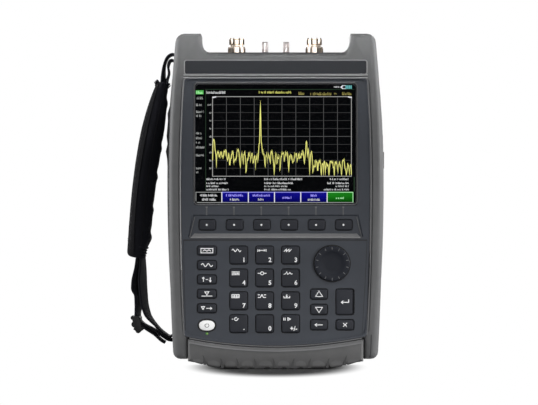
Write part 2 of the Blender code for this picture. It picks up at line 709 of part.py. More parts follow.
def rear_shell():
    shell = shell_form("rear_shell")
    shaped(shell, shell_cavity())
    for block in shell_blocks():
        shaped(shell, block, "UNION")
    shaped(shell, shell_posts(), "UNION")
    bay = ((battery_left - BAY_ROOM, y_bay, bay_low), (battery_right + BAY_ROOM, y_door, bay_high))
    plate_low = (-PLATE_HALF_WIDTH - CLEAR, y_plate - CLEAR, rail_top - PLATE_THICKNESS - CLEAR)
    plate_high = (PLATE_HALF_WIDTH + CLEAR, y_plate + PLATE_DEPTH + CLEAR, case_height)
    port_low = (PLATE_LIP - PLATE_HALF_WIDTH, y_plate + PLATE_LIP, rail_top - 2 * TOP_WALL)
    port_high = (PLATE_HALF_WIDTH - PLATE_LIP, y_plate + PLATE_DEPTH - PLATE_LIP, case_height)
    shaped(shell, boxes("bay_and_plate", [bay, (plate_low, plate_high)]))
    shaped(shell, boxes("port_opening", [(port_low, port_high)]))
    shaped(shell, door_prism("door_slot", CLEAR, 2 * case_half))
    side = BAIL_HALF_WIDTH + BAIL_SIDE
    recess = ((-side, bail_floor, bail_low), (side, 2 * y_rear, bail_high))
    side_recess = ((side_floor, y_side - CLEAR, SIDE_DOOR_BOTTOM - CLEAR),
                   (2 * case_half, y_side + SIDE_DOOR_DEPTH + HINGE_ROOM, side_door_top + CLEAR))
    shaped(shell, boxes("recesses", [recess, side_recess, strap_slot(upper_pin), strap_slot(lower_pin)]))
    border = SIDE_BAY_BORDER
    side_bay = ((side_floor - SIDE_BAY_DEPTH, y_side + border, SIDE_DOOR_BOTTOM + border),
                (side_floor + CUT, side_hinge_y - border, side_door_top - border))
    half = BAIL_SCOOP / 2
    scoop = ((-half, bail_floor, scoop_low), (half, 2 * y_rear, bail_low + CUT))
    shaped(shell, boxes("bays", [side_bay, scoop]))

    def drill(grid):
        for x, z in screw_places():
            bore, head = SCREW_RADIUS + CLEAR, SCREW_HEAD_RADIUS + CLEAR
            seat, end = y_screw_seat - y_shell - CLEAR, 2 * y_rear - y_shell
            profile = ((bore, -CUT), (bore, seat), (head, seat), (head, end))
            fill_turned(grid, profile, (x, y_shell, z), (0, 1, 0), ROD_SIDES)
        for side in (-1, 1):
            end = BAIL_HALF_WIDTH + BAIL_PIN_LENGTH + CLEAR
            profile = ((BAIL_PIN_RADIUS + CLEAR, 0.0), (BAIL_PIN_RADIUS + CLEAR, end - BAIL_HALF_WIDTH))
            fill_turned(grid, profile, (side * BAIL_HALF_WIDTH, y_bail, bail_z), (side, 0, 0), ROD_SIDES)
    shaped(shell, meshed("shell_holes", drill))
    pins = []
    for x, z in (upper_pin, lower_pin):
        low, high = strap_slot((x, z))
        pins.append((STRAP_PIN_RADIUS, (x, low[1] - STRAP_PIN_GRIP, z), (x, high[1] + STRAP_PIN_GRIP, z)))
    shaped(shell, rods("strap_pins", pins), "UNION")
    return finished(smoothed(shell), "grey")


def foot(x):
    # Height of the bumper's lower edge: flat in the middle, rising to both sides
    beyond = max(0.0, abs(x) - FOOT_FLAT / 2)
    return FOOT_RISE * (beyond / (bumper_half - FOOT_FLAT / 2)) ** FOOT_CURVE


def bottom_bumper():
    half = [FOOT_FLAT / 4] + [FOOT_FLAT / 2 + (bumper_half - FOOT_FLAT / 2) * i / 5 for i in range(6)]
    right = [(x, foot(x)) for x in half] + [(x, bow(x)) for x in reversed(half)]
    outline = mirrored(right, right)
    front, back = y_rim - BUMPER_PROUD, y_rear - BUMPER_BACK_INSET
    stations = rim_stations(outline, front, BUMPER_ROUND, BUMPER_ROUND)
    behind = rim_stations(outline, 0.0, BUMPER_ROUND, BUMPER_ROUND)
    stations += [(back - depth, points) for depth, points in reversed(behind)]
    bumper = meshed("bottom_bumper", lambda grid: fill_loft(grid, stations))
    treads = []
    for i in range(TREAD_COUNT):
        x = (i - (TREAD_COUNT - 1) / 2) * TREAD_PITCH
        top = foot(x) + TREAD_DEPTH
        treads.append(((x - TREAD_WIDTH / 2, 2 * y_rim, -CUT), (x + TREAD_WIDTH / 2, 2 * y_rear, top)))
    shaped(bumper, boxes("treads", treads))
    return finished(smoothed(bumper), "rubber")


# Front panel, keys and knob
def key_table():
    # Each key's name, middle, size, corner, finish and the depth of the face it stands in
    tray = y_panel + TRAY_DEPTH
    rows = []
    for i in range(SOFTKEY_COUNT):
        x = (i - (SOFTKEY_COUNT - 1) / 2) * softkey_pitch
        size = (SOFTKEY_WIDTH, SOFTKEY_HEIGHT, SMALL_KEY_CORNER)
        rows.append((f"softkey_{i + 1}", x, softkey_z, *size, "key", tray))
    for i in range(FUNCTION_KEY_COUNT):
        z = function_top - FUNCTION_KEY_HEIGHT / 2 - i * function_pitch
        size = (FUNCTION_KEY_WIDTH, FUNCTION_KEY_HEIGHT, SMALL_KEY_CORNER)
        rows.append((f"function_key_{i + 1}", function_x, z, *size, "key", y_panel))
    for i, name in enumerate(("1", "2", "3", "4", "5", "6", "7", "8", "9", "dot", "0", "sign")):
        x = number_x + (i % 3) * number_pitch_x
        z = number_top - NUMBER_KEY_HEIGHT / 2 - (i // 3) * number_pitch_z
        size = (NUMBER_KEY_WIDTH, NUMBER_KEY_HEIGHT, NUMBER_KEY_CORNER)
        rows.append((f"key_{name}", x, z, *size, "key", y_panel))
    power = (POWER_KEY_WIDTH, POWER_KEY_HEIGHT, POWER_KEY_HEIGHT * POWER_KEY_ROUND)
    rows.append(("power_key", function_x, small_row_bottom + POWER_KEY_HEIGHT / 2, *power, "white", y_panel))
    arrow = (ARROW_KEY_WIDTH, ARROW_KEY_HEIGHT, SMALL_KEY_CORNER, "key", y_panel)
    row_z = small_row_bottom + ARROW_KEY_HEIGHT / 2
    for i, name in enumerate(("back_key", "down_key", "up_key")):
        rows.append((name, arrow_x, row_z + i * arrow_pitch, *arrow))
    rows.append(("escape_key", enter_x, row_z, ENTER_KEY_WIDTH, *arrow[1:]))
    enter_height = arrow_pitch + ARROW_KEY_HEIGHT
    rows.append(("enter_key", enter_x, row_z + 1.5 * arrow_pitch, ENTER_KEY_WIDTH, enter_height, *arrow[2:]))
    return rows


def key(name, x, z, width, height, corner, finish, face):
    def outline(grow):
        return rounded_rectangle((x, z), width + 2 * grow, height + 2 * grow, corner + grow)
    stations = [(y_flange_back, outline(KEY_FLANGE)), (y_flange, outline(KEY_FLANGE))]
    stations += [(y_flange, outline(0.0)), (face - KEY_RISE + KEY_EDGE, outline(0.0))]
    stations.append((face - KEY_RISE, outline(-KEY_EDGE)))
    return finished(meshed(name, lambda grid: fill_loft(grid, stations), (x, face, z)), finish)


def front_panel():
    outline = front_outline(RAIL_WIDTH, SEAM + SILL, panel_top)
    panel = prism("front_panel", outline, y_panel, y_panel_back)
    half = (SOFTKEY_COUNT - 1) / 2 * softkey_pitch + SOFTKEY_WIDTH / 2 + TRAY_MARGIN
    low, high = softkey_z - SOFTKEY_HEIGHT / 2 - TRAY_MARGIN, softkey_z + SOFTKEY_HEIGHT / 2 + TRAY_TOP
    tray = [(-half - TRAY_SLANT, low), (half + TRAY_SLANT, low), (half, high), (-half, high)]
    lens = rounded_rectangle((0, screen_z), lens_width + 2 * CLEAR, lens_height + 2 * CLEAR, SCREEN_CORNER)

    def recess(grid):
        fill_loft(grid, [(y_panel - CUT, inset(tray, -2 * TRAY_DEPTH)), (y_panel + TRAY_DEPTH, tray)])
        fill_prism(grid, lens, y_panel - CUT, y_panel + LENS_THICKNESS + CLEAR)
    shaped(panel, meshed("panel_recesses", recess))

    def drill(grid):
        window = rounded_rectangle((0, screen_z), SCREEN_WIDTH, SCREEN_HEIGHT, SCREEN_CORNER)
        fill_prism(grid, window, y_panel - CUT, y_panel_back + CUT)
        for name, x, z, width, height, corner, finish, face in key_table():
            hole = rounded_rectangle((x, z), width + 2 * CLEAR, height + 2 * CLEAR, corner + CLEAR)
            fill_prism(grid, hole, y_panel - CUT, y_panel_back + CUT)
        round_holes = ((ENCODER_BUSH_RADIUS, knob_x, knob_z), (LIGHT_RADIUS, function_x, light_z))
        for radius, x, z in round_holes:
            fill_prism(grid, arc((x, z), radius + CLEAR, 0, 330, 11), y_panel - CUT, y_panel_back + CUT)
    shaped(panel, meshed("panel_holes", drill))
    return finished(panel, "panel")


def boss_places():
    # Bosses on the keypad board stand at its corners, between the rows of keys, and reach the panel
    x = board_half - BOARD_BOSS_RADIUS
    heights = (function_bottom - POWER_KEY_GAP / 2, keypad_top + SOFTKEY_TO_KEYPAD / 2)
    return [(side * x, z) for z in heights for side in (-1, 1)]


def name_strip():
    outline = rounded_rectangle((0, strip_z), 2 * strip_half, STRIP_HEIGHT, STRIP_CORNER)
    front = y_rim + STRIP_SINK
    return finished(prism("name_strip", outline, front, front + STRIP_THICKNESS), "panel")


def display_lens():
    outline = rounded_rectangle((0, screen_z), lens_width, lens_height, SCREEN_CORNER - CLEAR)
    return finished(prism("display_lens", outline, y_panel, y_panel + LENS_THICKNESS), "glass")


def display_module():
    border = PANEL_TOP_MARGIN - LEDGE_WIDTH - CLEAR
    width, height = SCREEN_WIDTH + 2 * border, SCREEN_HEIGHT + 2 * border
    outline = rounded_rectangle((0, screen_z), width, height, SCREEN_CORNER)
    return finished(prism("display_module", outline, y_flange, y_module_back), "black")


def tuning_knob():
    front, back, radius = y_panel - KNOB_HEIGHT, y_panel - CLEAR, KNOB_DIAMETER / 2
    bore = ENCODER_BUSH_RADIUS + CLEAR
    count = 5 * KNOB_FLUTES

    def ring(size, y, flute=0.0):
        points = []
        for i in range(count):
            a = math.tau * i / count
            r = size - flute * (0.5 + 0.5 * math.cos(KNOB_FLUTES * a)) ** 2
            points.append((knob_x + r * math.cos(a), y, knob_z + r * math.sin(a)))
        return points
    rings = [ring(bore, y_shaft_end - CLEAR), ring(bore, back), ring(radius, back, KNOB_FLUTE_DEPTH)]
    rings.append(ring(radius, front + KNOB_EDGE, KNOB_FLUTE_DEPTH))
    rings.append(ring(radius - KNOB_EDGE, front, KNOB_FLUTE_DEPTH))
    rings.append(ring(radius - KNOB_BAND, front))
    rings.append(ring(radius - KNOB_BAND - KNOB_EDGE, front + KNOB_DISH_DEPTH))
    knob = meshed("tuning_knob", lambda grid: skin(grid, rings), (knob_x, back, knob_z))
    return finished(smoothed(knob, 30), "key")


def rotary_encoder():
    half = ENCODER_SIZE / 2
    low, high = (knob_x - half, y_flange, knob_z - half), (knob_x + half, y_board - CLEAR, knob_z + half)
    encoder = boxes("rotary_encoder", [(low, high)])
    bush, shaft = y_panel - ENCODER_BUSH_PROUD, y_shaft_end
    profile = ((ENCODER_BUSH_RADIUS, 0.0), (ENCODER_BUSH_RADIUS, y_flange + CUT - bush),
               (ENCODER_SHAFT_RADIUS, y_flange + CUT - bush), (ENCODER_SHAFT_RADIUS, y_flange + CUT - shaft))
    start = (knob_x, y_flange + CUT, knob_z)
    stem = meshed("encoder_stem", lambda grid: fill_turned(grid, profile, start, (0, -1, 0), ROD_SIDES))
    shaped(encoder, stem, "UNION")
    return finished(encoder, "steel")


def power_light():
    flange = LIGHT_RADIUS + LIGHT_FLANGE
    root, tip = KEY_FLANGE_THICKNESS, y_flange_back - y_panel + CLEAR
    profile = ((flange, 0.0), (flange, root), (LIGHT_RADIUS, root), (LIGHT_RADIUS, tip))
    start = (function_x, y_flange_back, light_z)

    def build(grid):
        fill_turned(grid, profile, start, (0, -1, 0), ROD_SIDES)
    return finished(meshed("power_light", build, start), "light")


def keypad_sheet(name, half, front, thickness, finish):
    low, high = board_low, softkey_z + SOFTKEY_HEIGHT / 2 + KEY_FLANGE + BOARD_BOSS_RADIUS
    sheet = boxes(name, [((-half, front, low), (half, front + thickness, high))])
    return finished(sheet, finish)


def keypad_mat():
    side = board_half - 2 * BOARD_BOSS_RADIUS - CLEAR
    mat = keypad_sheet("keypad_mat", side, y_mat, MAT_THICKNESS, "rubber")
    half = ENCODER_SIZE / 2 + CLEAR
    gap = ((knob_x - half, y_mat - CUT, knob_z - half), (knob_x + half, y_board, knob_z + half))
    shaped(mat, boxes("encoder_gap", [gap]))
    return mat


def keypad_board():
    board = keypad_sheet("keypad_board", board_half, y_board, BOARD_THICKNESS, "board")
    front, back = y_panel_back + CLEAR, y_board + CUT
    bosses = [(BOARD_BOSS_RADIUS, (x, front, z), (x, back, z)) for x, z in boss_places()]
    shaped(board, rods("board_bosses", bosses), "UNION")
    return board


# Ports and the plate that carries them
def top_plate():
    low = (-PLATE_HALF_WIDTH, y_plate, rail_top - PLATE_THICKNESS)
    high = (PLATE_HALF_WIDTH, y_plate + PLATE_DEPTH, rail_top)
    plate = boxes("top_plate", [(low, high)])
    holes = []
    for spread, radius in ((PORT_SPREAD, PORT_TAIL_RADIUS), (SMALL_PORT_SPREAD, SMALL_PORT_TAIL_RADIUS)):
        for side in (-1, 1):
            x = side * spread
            holes.append((radius + CLEAR, (x, y_port, low[2] - CUT), (x, y_port, high[2] + CUT)))
    shaped(plate, rods("port_holes", holes))
    return finished(plate, "steel")


def threads(radius, low, high, count, depth):
    # A run of ridges, as pairs of radius and height
    pitch = (high - low) / count
    points = []
    for i in range(count):
        points += [(radius - depth, low + i * pitch), (radius, low + (i + 0.5) * pitch)]
    return points + [(radius - depth, high)]


def port(name, x, body, nut, nut_height, height, tail, bore, pin, ridges, segments):
    # Heights are above the plate; the tail runs down to the module below it
    bottom = rf_top + CLEAR - rail_top
    profile = [(tail, bottom), (tail, CLEAR), (nut, CLEAR), (nut, nut_height)]
    profile += threads(body, nut_height, height - PORT_EDGE, ridges, THREAD_DEPTH)
    profile += [(body - 2 * PORT_EDGE, height), (bore, height), (bore, nut_height), (pin, nut_height)]
    profile.append((pin, height - 3 * PORT_EDGE))
    base = (x, y_port, rail_top)
    item = meshed(name, lambda grid: fill_turned(grid, profile, base, (0, 0, 1), segments), base)
    return finished(smoothed(item), "silver")


def ports():
    large = (PORT_RADIUS, PORT_NUT_RADIUS, PORT_NUT_HEIGHT, PORT_HEIGHT, PORT_TAIL_RADIUS)
    small = (SMALL_PORT_RADIUS, SMALL_PORT_NUT_RADIUS, SMALL_PORT_NUT_HEIGHT, SMALL_PORT_HEIGHT)
    small += (SMALL_PORT_TAIL_RADIUS,)
    for i, side in enumerate((-1, 1)):
        port(f"port_{i + 1}", side * PORT_SPREAD, *large, PORT_BORE, PORT_PIN, PORT_THREADS, PORT_SIDES)
        bore = (SMALL_PORT_BORE, SMALL_PORT_PIN, SMALL_PORT_THREADS, ROD_SIDES)
        port(f"small_port_{i + 1}", side * SMALL_PORT_SPREAD, *small, *bore)


# Modules inside the case
def main_board():
    low = (-MAIN_BOARD_HALF_WIDTH, y_main_board, MAIN_BOARD_BOTTOM)
    return finished(boxes("main_board", [(low, (MAIN_BOARD_HALF_WIDTH, y_main_board_back, rf_top))]), "board")


def rf_module():
    front = y_main_board_back + CLEAR
    low = (-RF_HALF_WIDTH, front, rf_top - RF_HEIGHT)
    return finished(boxes("rf_module", [(low, (RF_HALF_WIDTH, front + RF_DEPTH, rf_top))]), "silver")


def battery_pack():
    low = (battery_left, y_bay + CLEAR, bay_low + BAY_ROOM)
    high = (battery_right, y_bay + CLEAR + BATTERY_DEPTH, bay_high - BAY_ROOM)
    return finished(boxes("battery_pack", [(low, high)]), "black")


# Doors, bail and screws
def battery_door():
    door = door_prism("battery_door", 0.0, case_half)
    shaped(door, shell_form("door_form"), "INTERSECT")
    return finished(smoothed(door), "grey")


def side_door():
    axis_x, radius = side_outer - SIDE_DOOR_THICKNESS / 2, SIDE_DOOR_THICKNESS / 2
    section = [(side_outer - SIDE_DOOR_THICKNESS, y_side), (side_outer, y_side)]
    section += arc((axis_x, side_hinge_y), radius, 0, 180, 6)
    rings = [[(x, y, z) for x, y in section] for z in (SIDE_DOOR_BOTTOM, side_door_top)]
    origin = (axis_x, side_hinge_y, (SIDE_DOOR_BOTTOM + side_door_top) / 2)
    return finished(meshed("port_door", lambda grid: skin(grid, rings), origin), "rubber")


def tilt_bail():
    side, low, inner = BAIL_HALF_WIDTH, bail_z - BAIL_LENGTH, BAIL_HALF_WIDTH - BAIL_WIDTH
    right = [*arc((side - BAIL_CORNER, low + BAIL_CORNER), BAIL_CORNER, -90, 0, 4), (side, bail_z)]
    right += [(inner, bail_z), (inner, low + BAIL_WIDTH)]
    outline = mirrored(right, right)
    front, back = y_bail - BAIL_THICKNESS / 2, y_bail + BAIL_THICKNESS / 2
    bail = prism("tilt_bail", outline, front, back, (0, y_bail, bail_z))

    def pivots(grid):
        for sign in (-1, 1):
            end, pin = BAIL_THICKNESS / 2, BAIL_PIN_RADIUS
            profile = ((end, 0.0), (end, BAIL_WIDTH), (pin, BAIL_WIDTH), (pin, BAIL_WIDTH + BAIL_PIN_LENGTH))
            fill_turned(grid, profile, (sign * inner, y_bail, bail_z), (sign, 0, 0), ROD_SIDES)
    shaped(bail, meshed("bail_pivots", pivots), "UNION")
    return finished(smoothed(bail), "black")


def case_screws():
    tip = y_seam - SCREW_ENGAGE
    seat, head = y_screw_seat - tip, y_screw_head - tip
    profile = ((SCREW_RADIUS, 0.0), (SCREW_RADIUS, seat))
    profile += ((SCREW_HEAD_RADIUS, seat), (SCREW_HEAD_RADIUS, head))
    for i, (x, z) in enumerate(screw_places()):
        start = (x, tip, z)

        def build(grid):
            fill_turned(grid, profile, start, (0, 1, 0), ROD_SIDES)
        finished(meshed(f"case_screw_{i + 1}", build, start), "steel")


# Hand strap
def pin_loop(pin, out, back):
    # A webbing route: out to the pin, round it, and back
    radius = STRAP_PIN_RADIUS + CLEAR + WEB_THICKNESS / 2 + STRAP_PIN_ROOM
    turn = arc((0.0, 0.0), radius, 90, -90, 6)
    return [(pin[0] + x, pin[1] + z) for x, z in (*out, *turn, *back)]


def twist_at(z):
    share = (z - lower_pin[1] - STRAP_TWIST_FROM) / (LOWER_OUT[0][1] - STRAP_TWIST_FROM)
    return STRAP_TWIST * math.sin(math.pi * min(1.0, max(0.0, share)))


def band(name, points, finish, twisted=False):
    # Flat webbing along a route in the XZ plane, its width along Y unless twisted
    path = smooth_path(points, WEB_STEPS)
    rings = []
    for i, here in enumerate(path):
        along = (path[min(i + 1, len(path) - 1)] - path[max(i - 1, 0)]).normalized()
        tangent = Vector((along.x, 0.0, along.y))
        angle = twist_at(here.y) if twisted else 0.0
        across = Vector((math.sin(angle), math.cos(angle), 0.0))
        across = (across - tangent * across.dot(tangent)).normalized() * WEB_WIDTH / 2
        normal = tangent.cross(across).normalized() * WEB_THICKNESS / 2
        middle = Vector((here.x, STRAP_Y, here.y))
        rings.append([middle + normal + across, middle - normal + across, middle - normal - across,
                      middle + normal - across])
    return finished(meshed(name, lambda grid: skin(grid, rings)), finish)


def pad_size(share, length):
    # Half-width and half-thickness along the pad: crowned in the middle, drawn in at both ends
    crown = math.sin(math.pi * min(1.0, max(0.0, share))) ** PAD_CROWN
    channel = 0.0
    for place in (PAD_CHANNEL_INSET, length - PAD_CHANNEL_INSET):
        channel += PAD_CHANNEL_DEPTH * math.exp(-(((share * length - place) / PAD_CHANNEL_DEPTH / 2) ** 2))
    width = PAD_END_WIDTH + (PAD_WIDTH - PAD_END_WIDTH) * crown
    end = PAD_TOP_THICKNESS + (PAD_LOW_THICKNESS - PAD_TOP_THICKNESS) * share
    thickness = end + (PAD_THICKNESS - end) * crown
    return width / 2, thickness / 2 - channel


def strap_pad():
    upper_x = upper_pin[0] + (UPPER_OUT[0][0] + UPPER_BACK[-1][0]) / 2
    lower_x = lower_pin[0] + (LOWER_OUT[0][0] + LOWER_BACK[-1][0]) / 2
    top = Vector((upper_x, upper_pin[1] + UPPER_OUT[0][1] - PAD_END_GAP))
    low = Vector((lower_x, lower_pin[1] + LOWER_OUT[0][1] + PAD_END_GAP))
    length = (top - low).length
    outward = Vector((top - low).yx).normalized() * Vector((-1, 1))
    rings = []
    shares = sorted([i / PAD_STEPS for i in range(PAD_STEPS + 1)]
                    + [place / length for place in (PAD_CHANNEL_INSET, length - PAD_CHANNEL_INSET)])
    for share in shares:
        middle = top.lerp(low, share) + outward * PAD_BOW * 4 * share * (1 - share)
        half, thick = pad_size(share, length)
        ring = []
        for i in range(PAD_SIDES):
            a = math.tau * (i + 0.5) / PAD_SIDES
            x = math.copysign(abs(math.cos(a)) ** PAD_FLATNESS[0], math.cos(a)) * thick
            y = math.copysign(abs(math.sin(a)) ** PAD_FLATNESS[1], math.sin(a)) * half
            ring.append((middle.x + x * outward.x, STRAP_Y + y, middle.y + x * outward.y))
        rings.append(ring)
    return finished(smoothed(meshed("strap_pad", lambda grid: skin(grid, rings)), 50), "webbing")


def strap_slider():
    x, z = lower_pin[0] + SLIDER_OFFSET[0], lower_pin[1] + SLIDER_OFFSET[1]
    slot = (WEB_THICKNESS / 2 + SLIDER_ROOM, WEB_WIDTH / 2 + SLIDER_ROOM)
    outer = (slot[0] + SLIDER_WALL, slot[1] + SLIDER_WALL)
    rings = []
    for half_x, half_y, dz in ((*outer, -1), (*outer, 1), (*slot, 1), (*slot, -1)):
        corners = ((1, 1), (-1, 1), (-1, -1), (1, -1))
        height = z + dz * SLIDER_LENGTH / 2
        rings.append([(x + sx * half_x, STRAP_Y + sy * half_y, height) for sx, sy in corners])

    def build(grid):
        loops = [[grid.verts.new(point) for point in ring] for ring in rings]
        for here, there in zip(loops, loops[1:] + loops[:1]):
            for i in range(4):
                grid.faces.new((here[i], here[(i + 1) % 4], there[(i + 1) % 4], there[i]))
    return finished(meshed("strap_slider", build), "black")


def main():
    for item in list(bpy.data.objects):
        bpy.data.objects.remove(item, do_unlink=True)
    bpy.context.scene.collection.objects.link(bpy.data.objects.new("analyzer", None))
    front_bezel()
    rear_shell()
    bottom_bumper()
    front_panel()
    name_strip()
    display_lens()
    display_module()
    for row in key_table():
        key(*row)
    tuning_knob()
    rotary_encoder()
    power_light()
    keypad_mat()
    keypad_board()
    top_plate()
    ports()
    main_board()
    rf_module()
    battery_pack()
    battery_door()
    side_door()
    tilt_bail()
    case_screws()
    band("strap_upper_loop", pin_loop(upper_pin, UPPER_OUT, UPPER_BACK), "webbing")
    strap_pad()
    band("strap_lower_web", pin_loop(lower_pin, LOWER_OUT, LOWER_BACK), "webbing", twisted=True)
    strap_slider()


main()
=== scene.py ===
import bpy
import bmesh
import json
import math
import random
from mathutils import Matrix, Vector
from mathutils.bvhtree import BVHTree

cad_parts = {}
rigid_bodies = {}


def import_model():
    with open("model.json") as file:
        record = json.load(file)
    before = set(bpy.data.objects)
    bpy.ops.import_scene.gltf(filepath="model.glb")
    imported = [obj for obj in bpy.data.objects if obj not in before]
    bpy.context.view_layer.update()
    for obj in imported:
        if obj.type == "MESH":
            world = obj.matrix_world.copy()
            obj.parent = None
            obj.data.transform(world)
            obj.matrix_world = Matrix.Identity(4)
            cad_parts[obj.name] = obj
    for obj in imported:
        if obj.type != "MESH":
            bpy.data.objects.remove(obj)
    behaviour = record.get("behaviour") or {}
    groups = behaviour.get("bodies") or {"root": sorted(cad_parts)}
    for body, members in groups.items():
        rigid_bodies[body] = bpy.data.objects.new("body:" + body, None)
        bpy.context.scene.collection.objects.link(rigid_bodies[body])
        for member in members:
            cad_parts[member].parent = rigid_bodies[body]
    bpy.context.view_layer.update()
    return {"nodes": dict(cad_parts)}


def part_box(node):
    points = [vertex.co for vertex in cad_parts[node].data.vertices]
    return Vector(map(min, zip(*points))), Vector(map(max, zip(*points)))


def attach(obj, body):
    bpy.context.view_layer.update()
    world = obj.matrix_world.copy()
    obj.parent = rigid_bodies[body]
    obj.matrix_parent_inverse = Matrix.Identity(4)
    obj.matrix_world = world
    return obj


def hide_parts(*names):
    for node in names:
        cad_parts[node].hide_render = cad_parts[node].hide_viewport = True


for spare in list(bpy.data.objects):   # the start-up cube, lamp and camera
    bpy.data.objects.remove(spare)

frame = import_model()
nodes = frame["nodes"]
mm = 0.001
skin = 0.0003   # depth of a thin plate or line laid on a face
finishes = {}
print("frame loaded:", len(nodes), "nodes")


class Wire:
    # one socket of a shader tree, so that shader maths reads as plain sums
    def __init__(self, tree, socket=None):
        self.tree = tree
        self.socket = socket

    def add(self, kind, settings=None, inputs=None, output=0):
        node = self.tree.nodes.new(kind)
        for key, value in (settings or {}).items():
            setattr(node, key, value)
        for key, value in (inputs or {}).items():
            if isinstance(value, Wire):
                self.tree.links.new(value.socket, node.inputs[key])
            else:
                node.inputs[key].default_value = value
        return Wire(self.tree, node.outputs[output])

    def math(self, operation, first, second=0.0):
        return self.add("ShaderNodeMath", {"operation": operation}, {0: first, 1: second})

    def __add__(self, other):
        return self.math("ADD", self, other)

    def __mul__(self, other):
        return self.math("MULTIPLY", self, other)

    def __rsub__(self, other):
        return self.math("SUBTRACT", other, self)

    __radd__, __rmul__ = __add__, __mul__

    def fade(self, low, high):
        return self.add("ShaderNodeMapRange", {"interpolation_type": "SMOOTHSTEP"},
                        {"Value": self, "From Min": low, "From Max": high})

    def noise(self, size, detail=3.0, rough=0.55):
        return self.add("ShaderNodeTexNoise", None,
                        {"Vector": self, "Scale": 1 / size, "Detail": detail, "Roughness": rough})

    def stretch(self, x, y, z):
        return self.add("ShaderNodeVectorMath", {"operation": "MULTIPLY"}, {0: self, 1: (x, y, z)})

    def axis(self, name):
        return self.add("ShaderNodeSeparateXYZ", None, {0: self}, name)

    def wave(self, pitch):
        return self.math("SINE", self * (2 * math.pi / pitch))

    def mix(self, low, high):
        return self.add("ShaderNodeMix", {"data_type": "RGBA"}, {0: self, 6: low, 7: high}, 2)

    def bump(self, strength, distance):
        return self.add("ShaderNodeBump", None, {"Height": self, "Strength": strength, "Distance": distance})

    def seenRays(self):
        # 1 for what the viewer sees straight on, in gloss or through glass
        seen = self.add("ShaderNodeLightPath", None, None, "Is Camera Ray")
        path = seen.socket.node
        for kind in ("Is Glossy Ray", "Is Transmission Ray"):
            seen = seen.math("MAXIMUM", seen, Wire(self.tree, path.outputs[kind]))
        return seen


def rgb(r, g, b):
    return (r, g, b, 1.0)


def tint(colour, factor):
    return rgb(*(part * factor for part in colour))


def startFinish(name, constants):
    finish = finishes[name] = bpy.data.materials.new(name)
    finish.use_nodes = True
    shader = finish.node_tree.nodes["Principled BSDF"]
    for socket, value in constants.items():
        shader.inputs[socket].default_value = value
    return shader, Wire(finish.node_tree).add("ShaderNodeTexCoord", None, None, "Object")


def feed(shader, **wires):
    names = {"colour": "Base Color", "roughness": "Roughness", "normal": "Normal", "glow": "Emission Color"}
    for key, wire in wires.items():
        wire.tree.links.new(wire.socket, shader.inputs[names[key]])


# moulded and rubber finishes share one recipe: cloudy tone, fine spark grain, a little dust
mouldedFinishes = {
    # colour, cloud, grain and its lift in mm, roughness and its spread, shine
    "housingGrey": ((0.092, 0.093, 0.095), 0.10, 0.45, 0.05, 0.52, 0.10),
    "bumperGrey": ((0.092, 0.092, 0.093), 0.14, 0.60, 0.07, 0.66, 0.10),
    "panelSatin": ((0.0345, 0.0395, 0.0500), 0.07, 0.35, 0.03, 0.46, 0.08),
    "stripSatin": ((0.0110, 0.0125, 0.0160), 0.06, 0.30, 0.02, 0.40, 0.08, 0.15),
    "keyRubber": ((0.0160, 0.0175, 0.0230), 0.12, 0.40, 0.03, 0.54, 0.10, 0.16),
    "knobRubber": ((0.0085, 0.0100, 0.0150), 0.12, 0.40, 0.03, 0.50, 0.10, 0.12),
    # painted shade: near-black for gaps, wells and holes where shade falls
    "keyWell": ((0.006, 0.006, 0.007), 0.10, 0.40, 0.02, 0.60, 0.05),
    # painted highlight on beads and rims, and the colour of the battery cover's arrow
    "edgeGrey": ((0.225, 0.226, 0.230), 0.08, 0.40, 0.03, 0.44, 0.08),
    # painted shade in the bumper's notches
    "notchGrey": ((0.046, 0.046, 0.047), 0.08, 0.40, 0.03, 0.60, 0.08),
    # painted light: a lighter grey for faces, lines and edges that catch the lamps
    "ledgeGrey": ((0.125, 0.126, 0.130), 0.08, 0.40, 0.03, 0.48, 0.08),
    # the power key's sign and the softkey lines, and painted highlight on beads
    "bevelGrey": ((0.085, 0.086, 0.090), 0.08, 0.40, 0.03, 0.48, 0.08),
    # painted shade: dark lines in grooves and seams
    "grooveDark": ((0.018, 0.018, 0.020), 0.10, 0.40, 0.02, 0.60, 0.05),
    "blackPlastic": ((0.017, 0.017, 0.019), 0.12, 0.45, 0.04, 0.44, 0.10),
    "sliderBlack": ((0.0040, 0.0040, 0.0045), 0.15, 0.50, 0.05, 0.55, 0.10, 0.12),
    "whiteKey": ((0.970, 0.975, 0.970), 0.04, 0.40, 0.01, 0.34, 0.06),
    "markWhite": ((0.950, 0.955, 0.960), 0.06, 0.30, 0.01, 0.55, 0.05),
    "insulator": ((0.700, 0.690, 0.650), 0.05, 0.40, 0.02, 0.40, 0.06),
    "batteryBlack": ((0.030, 0.031, 0.034), 0.10, 0.50, 0.04, 0.50, 0.10),
}
metalFinishes = {
    # colour, roughness and its spread, length of the streaks in mm
    "portNickel": ((0.640, 0.615, 0.570), 0.24, 0.16, (0.4, 0.4, 4)),
    "portTan": ((0.790, 0.700, 0.610), 0.30, 0.14, (0.4, 0.4, 4)),
    "portRose": ((0.330, 0.300, 0.295), 0.28, 0.14, (0.4, 0.4, 4)),
    "portDark": ((0.075, 0.060, 0.048), 0.34, 0.14, (0.4, 0.4, 3)),
    "contactGold": ((0.830, 0.610, 0.250), 0.20, 0.10, (0.6, 0.6, 0.6)),
    "bandBrass": ((0.360, 0.260, 0.170), 0.26, 0.12, (0.6, 0.6, 0.6)),
    "plateSteel": ((0.470, 0.465, 0.455), 0.36, 0.16, (12, 0.3, 0.3)),
    "screwSteel": ((0.400, 0.400, 0.405), 0.34, 0.16, (0.8, 0.8, 0.8)),
    "canTin": ((0.620, 0.620, 0.615), 0.38, 0.12, (10, 1, 10)),
}
cellFade = (0.1445, 0.1525)   # heights between which a screen cell brightens
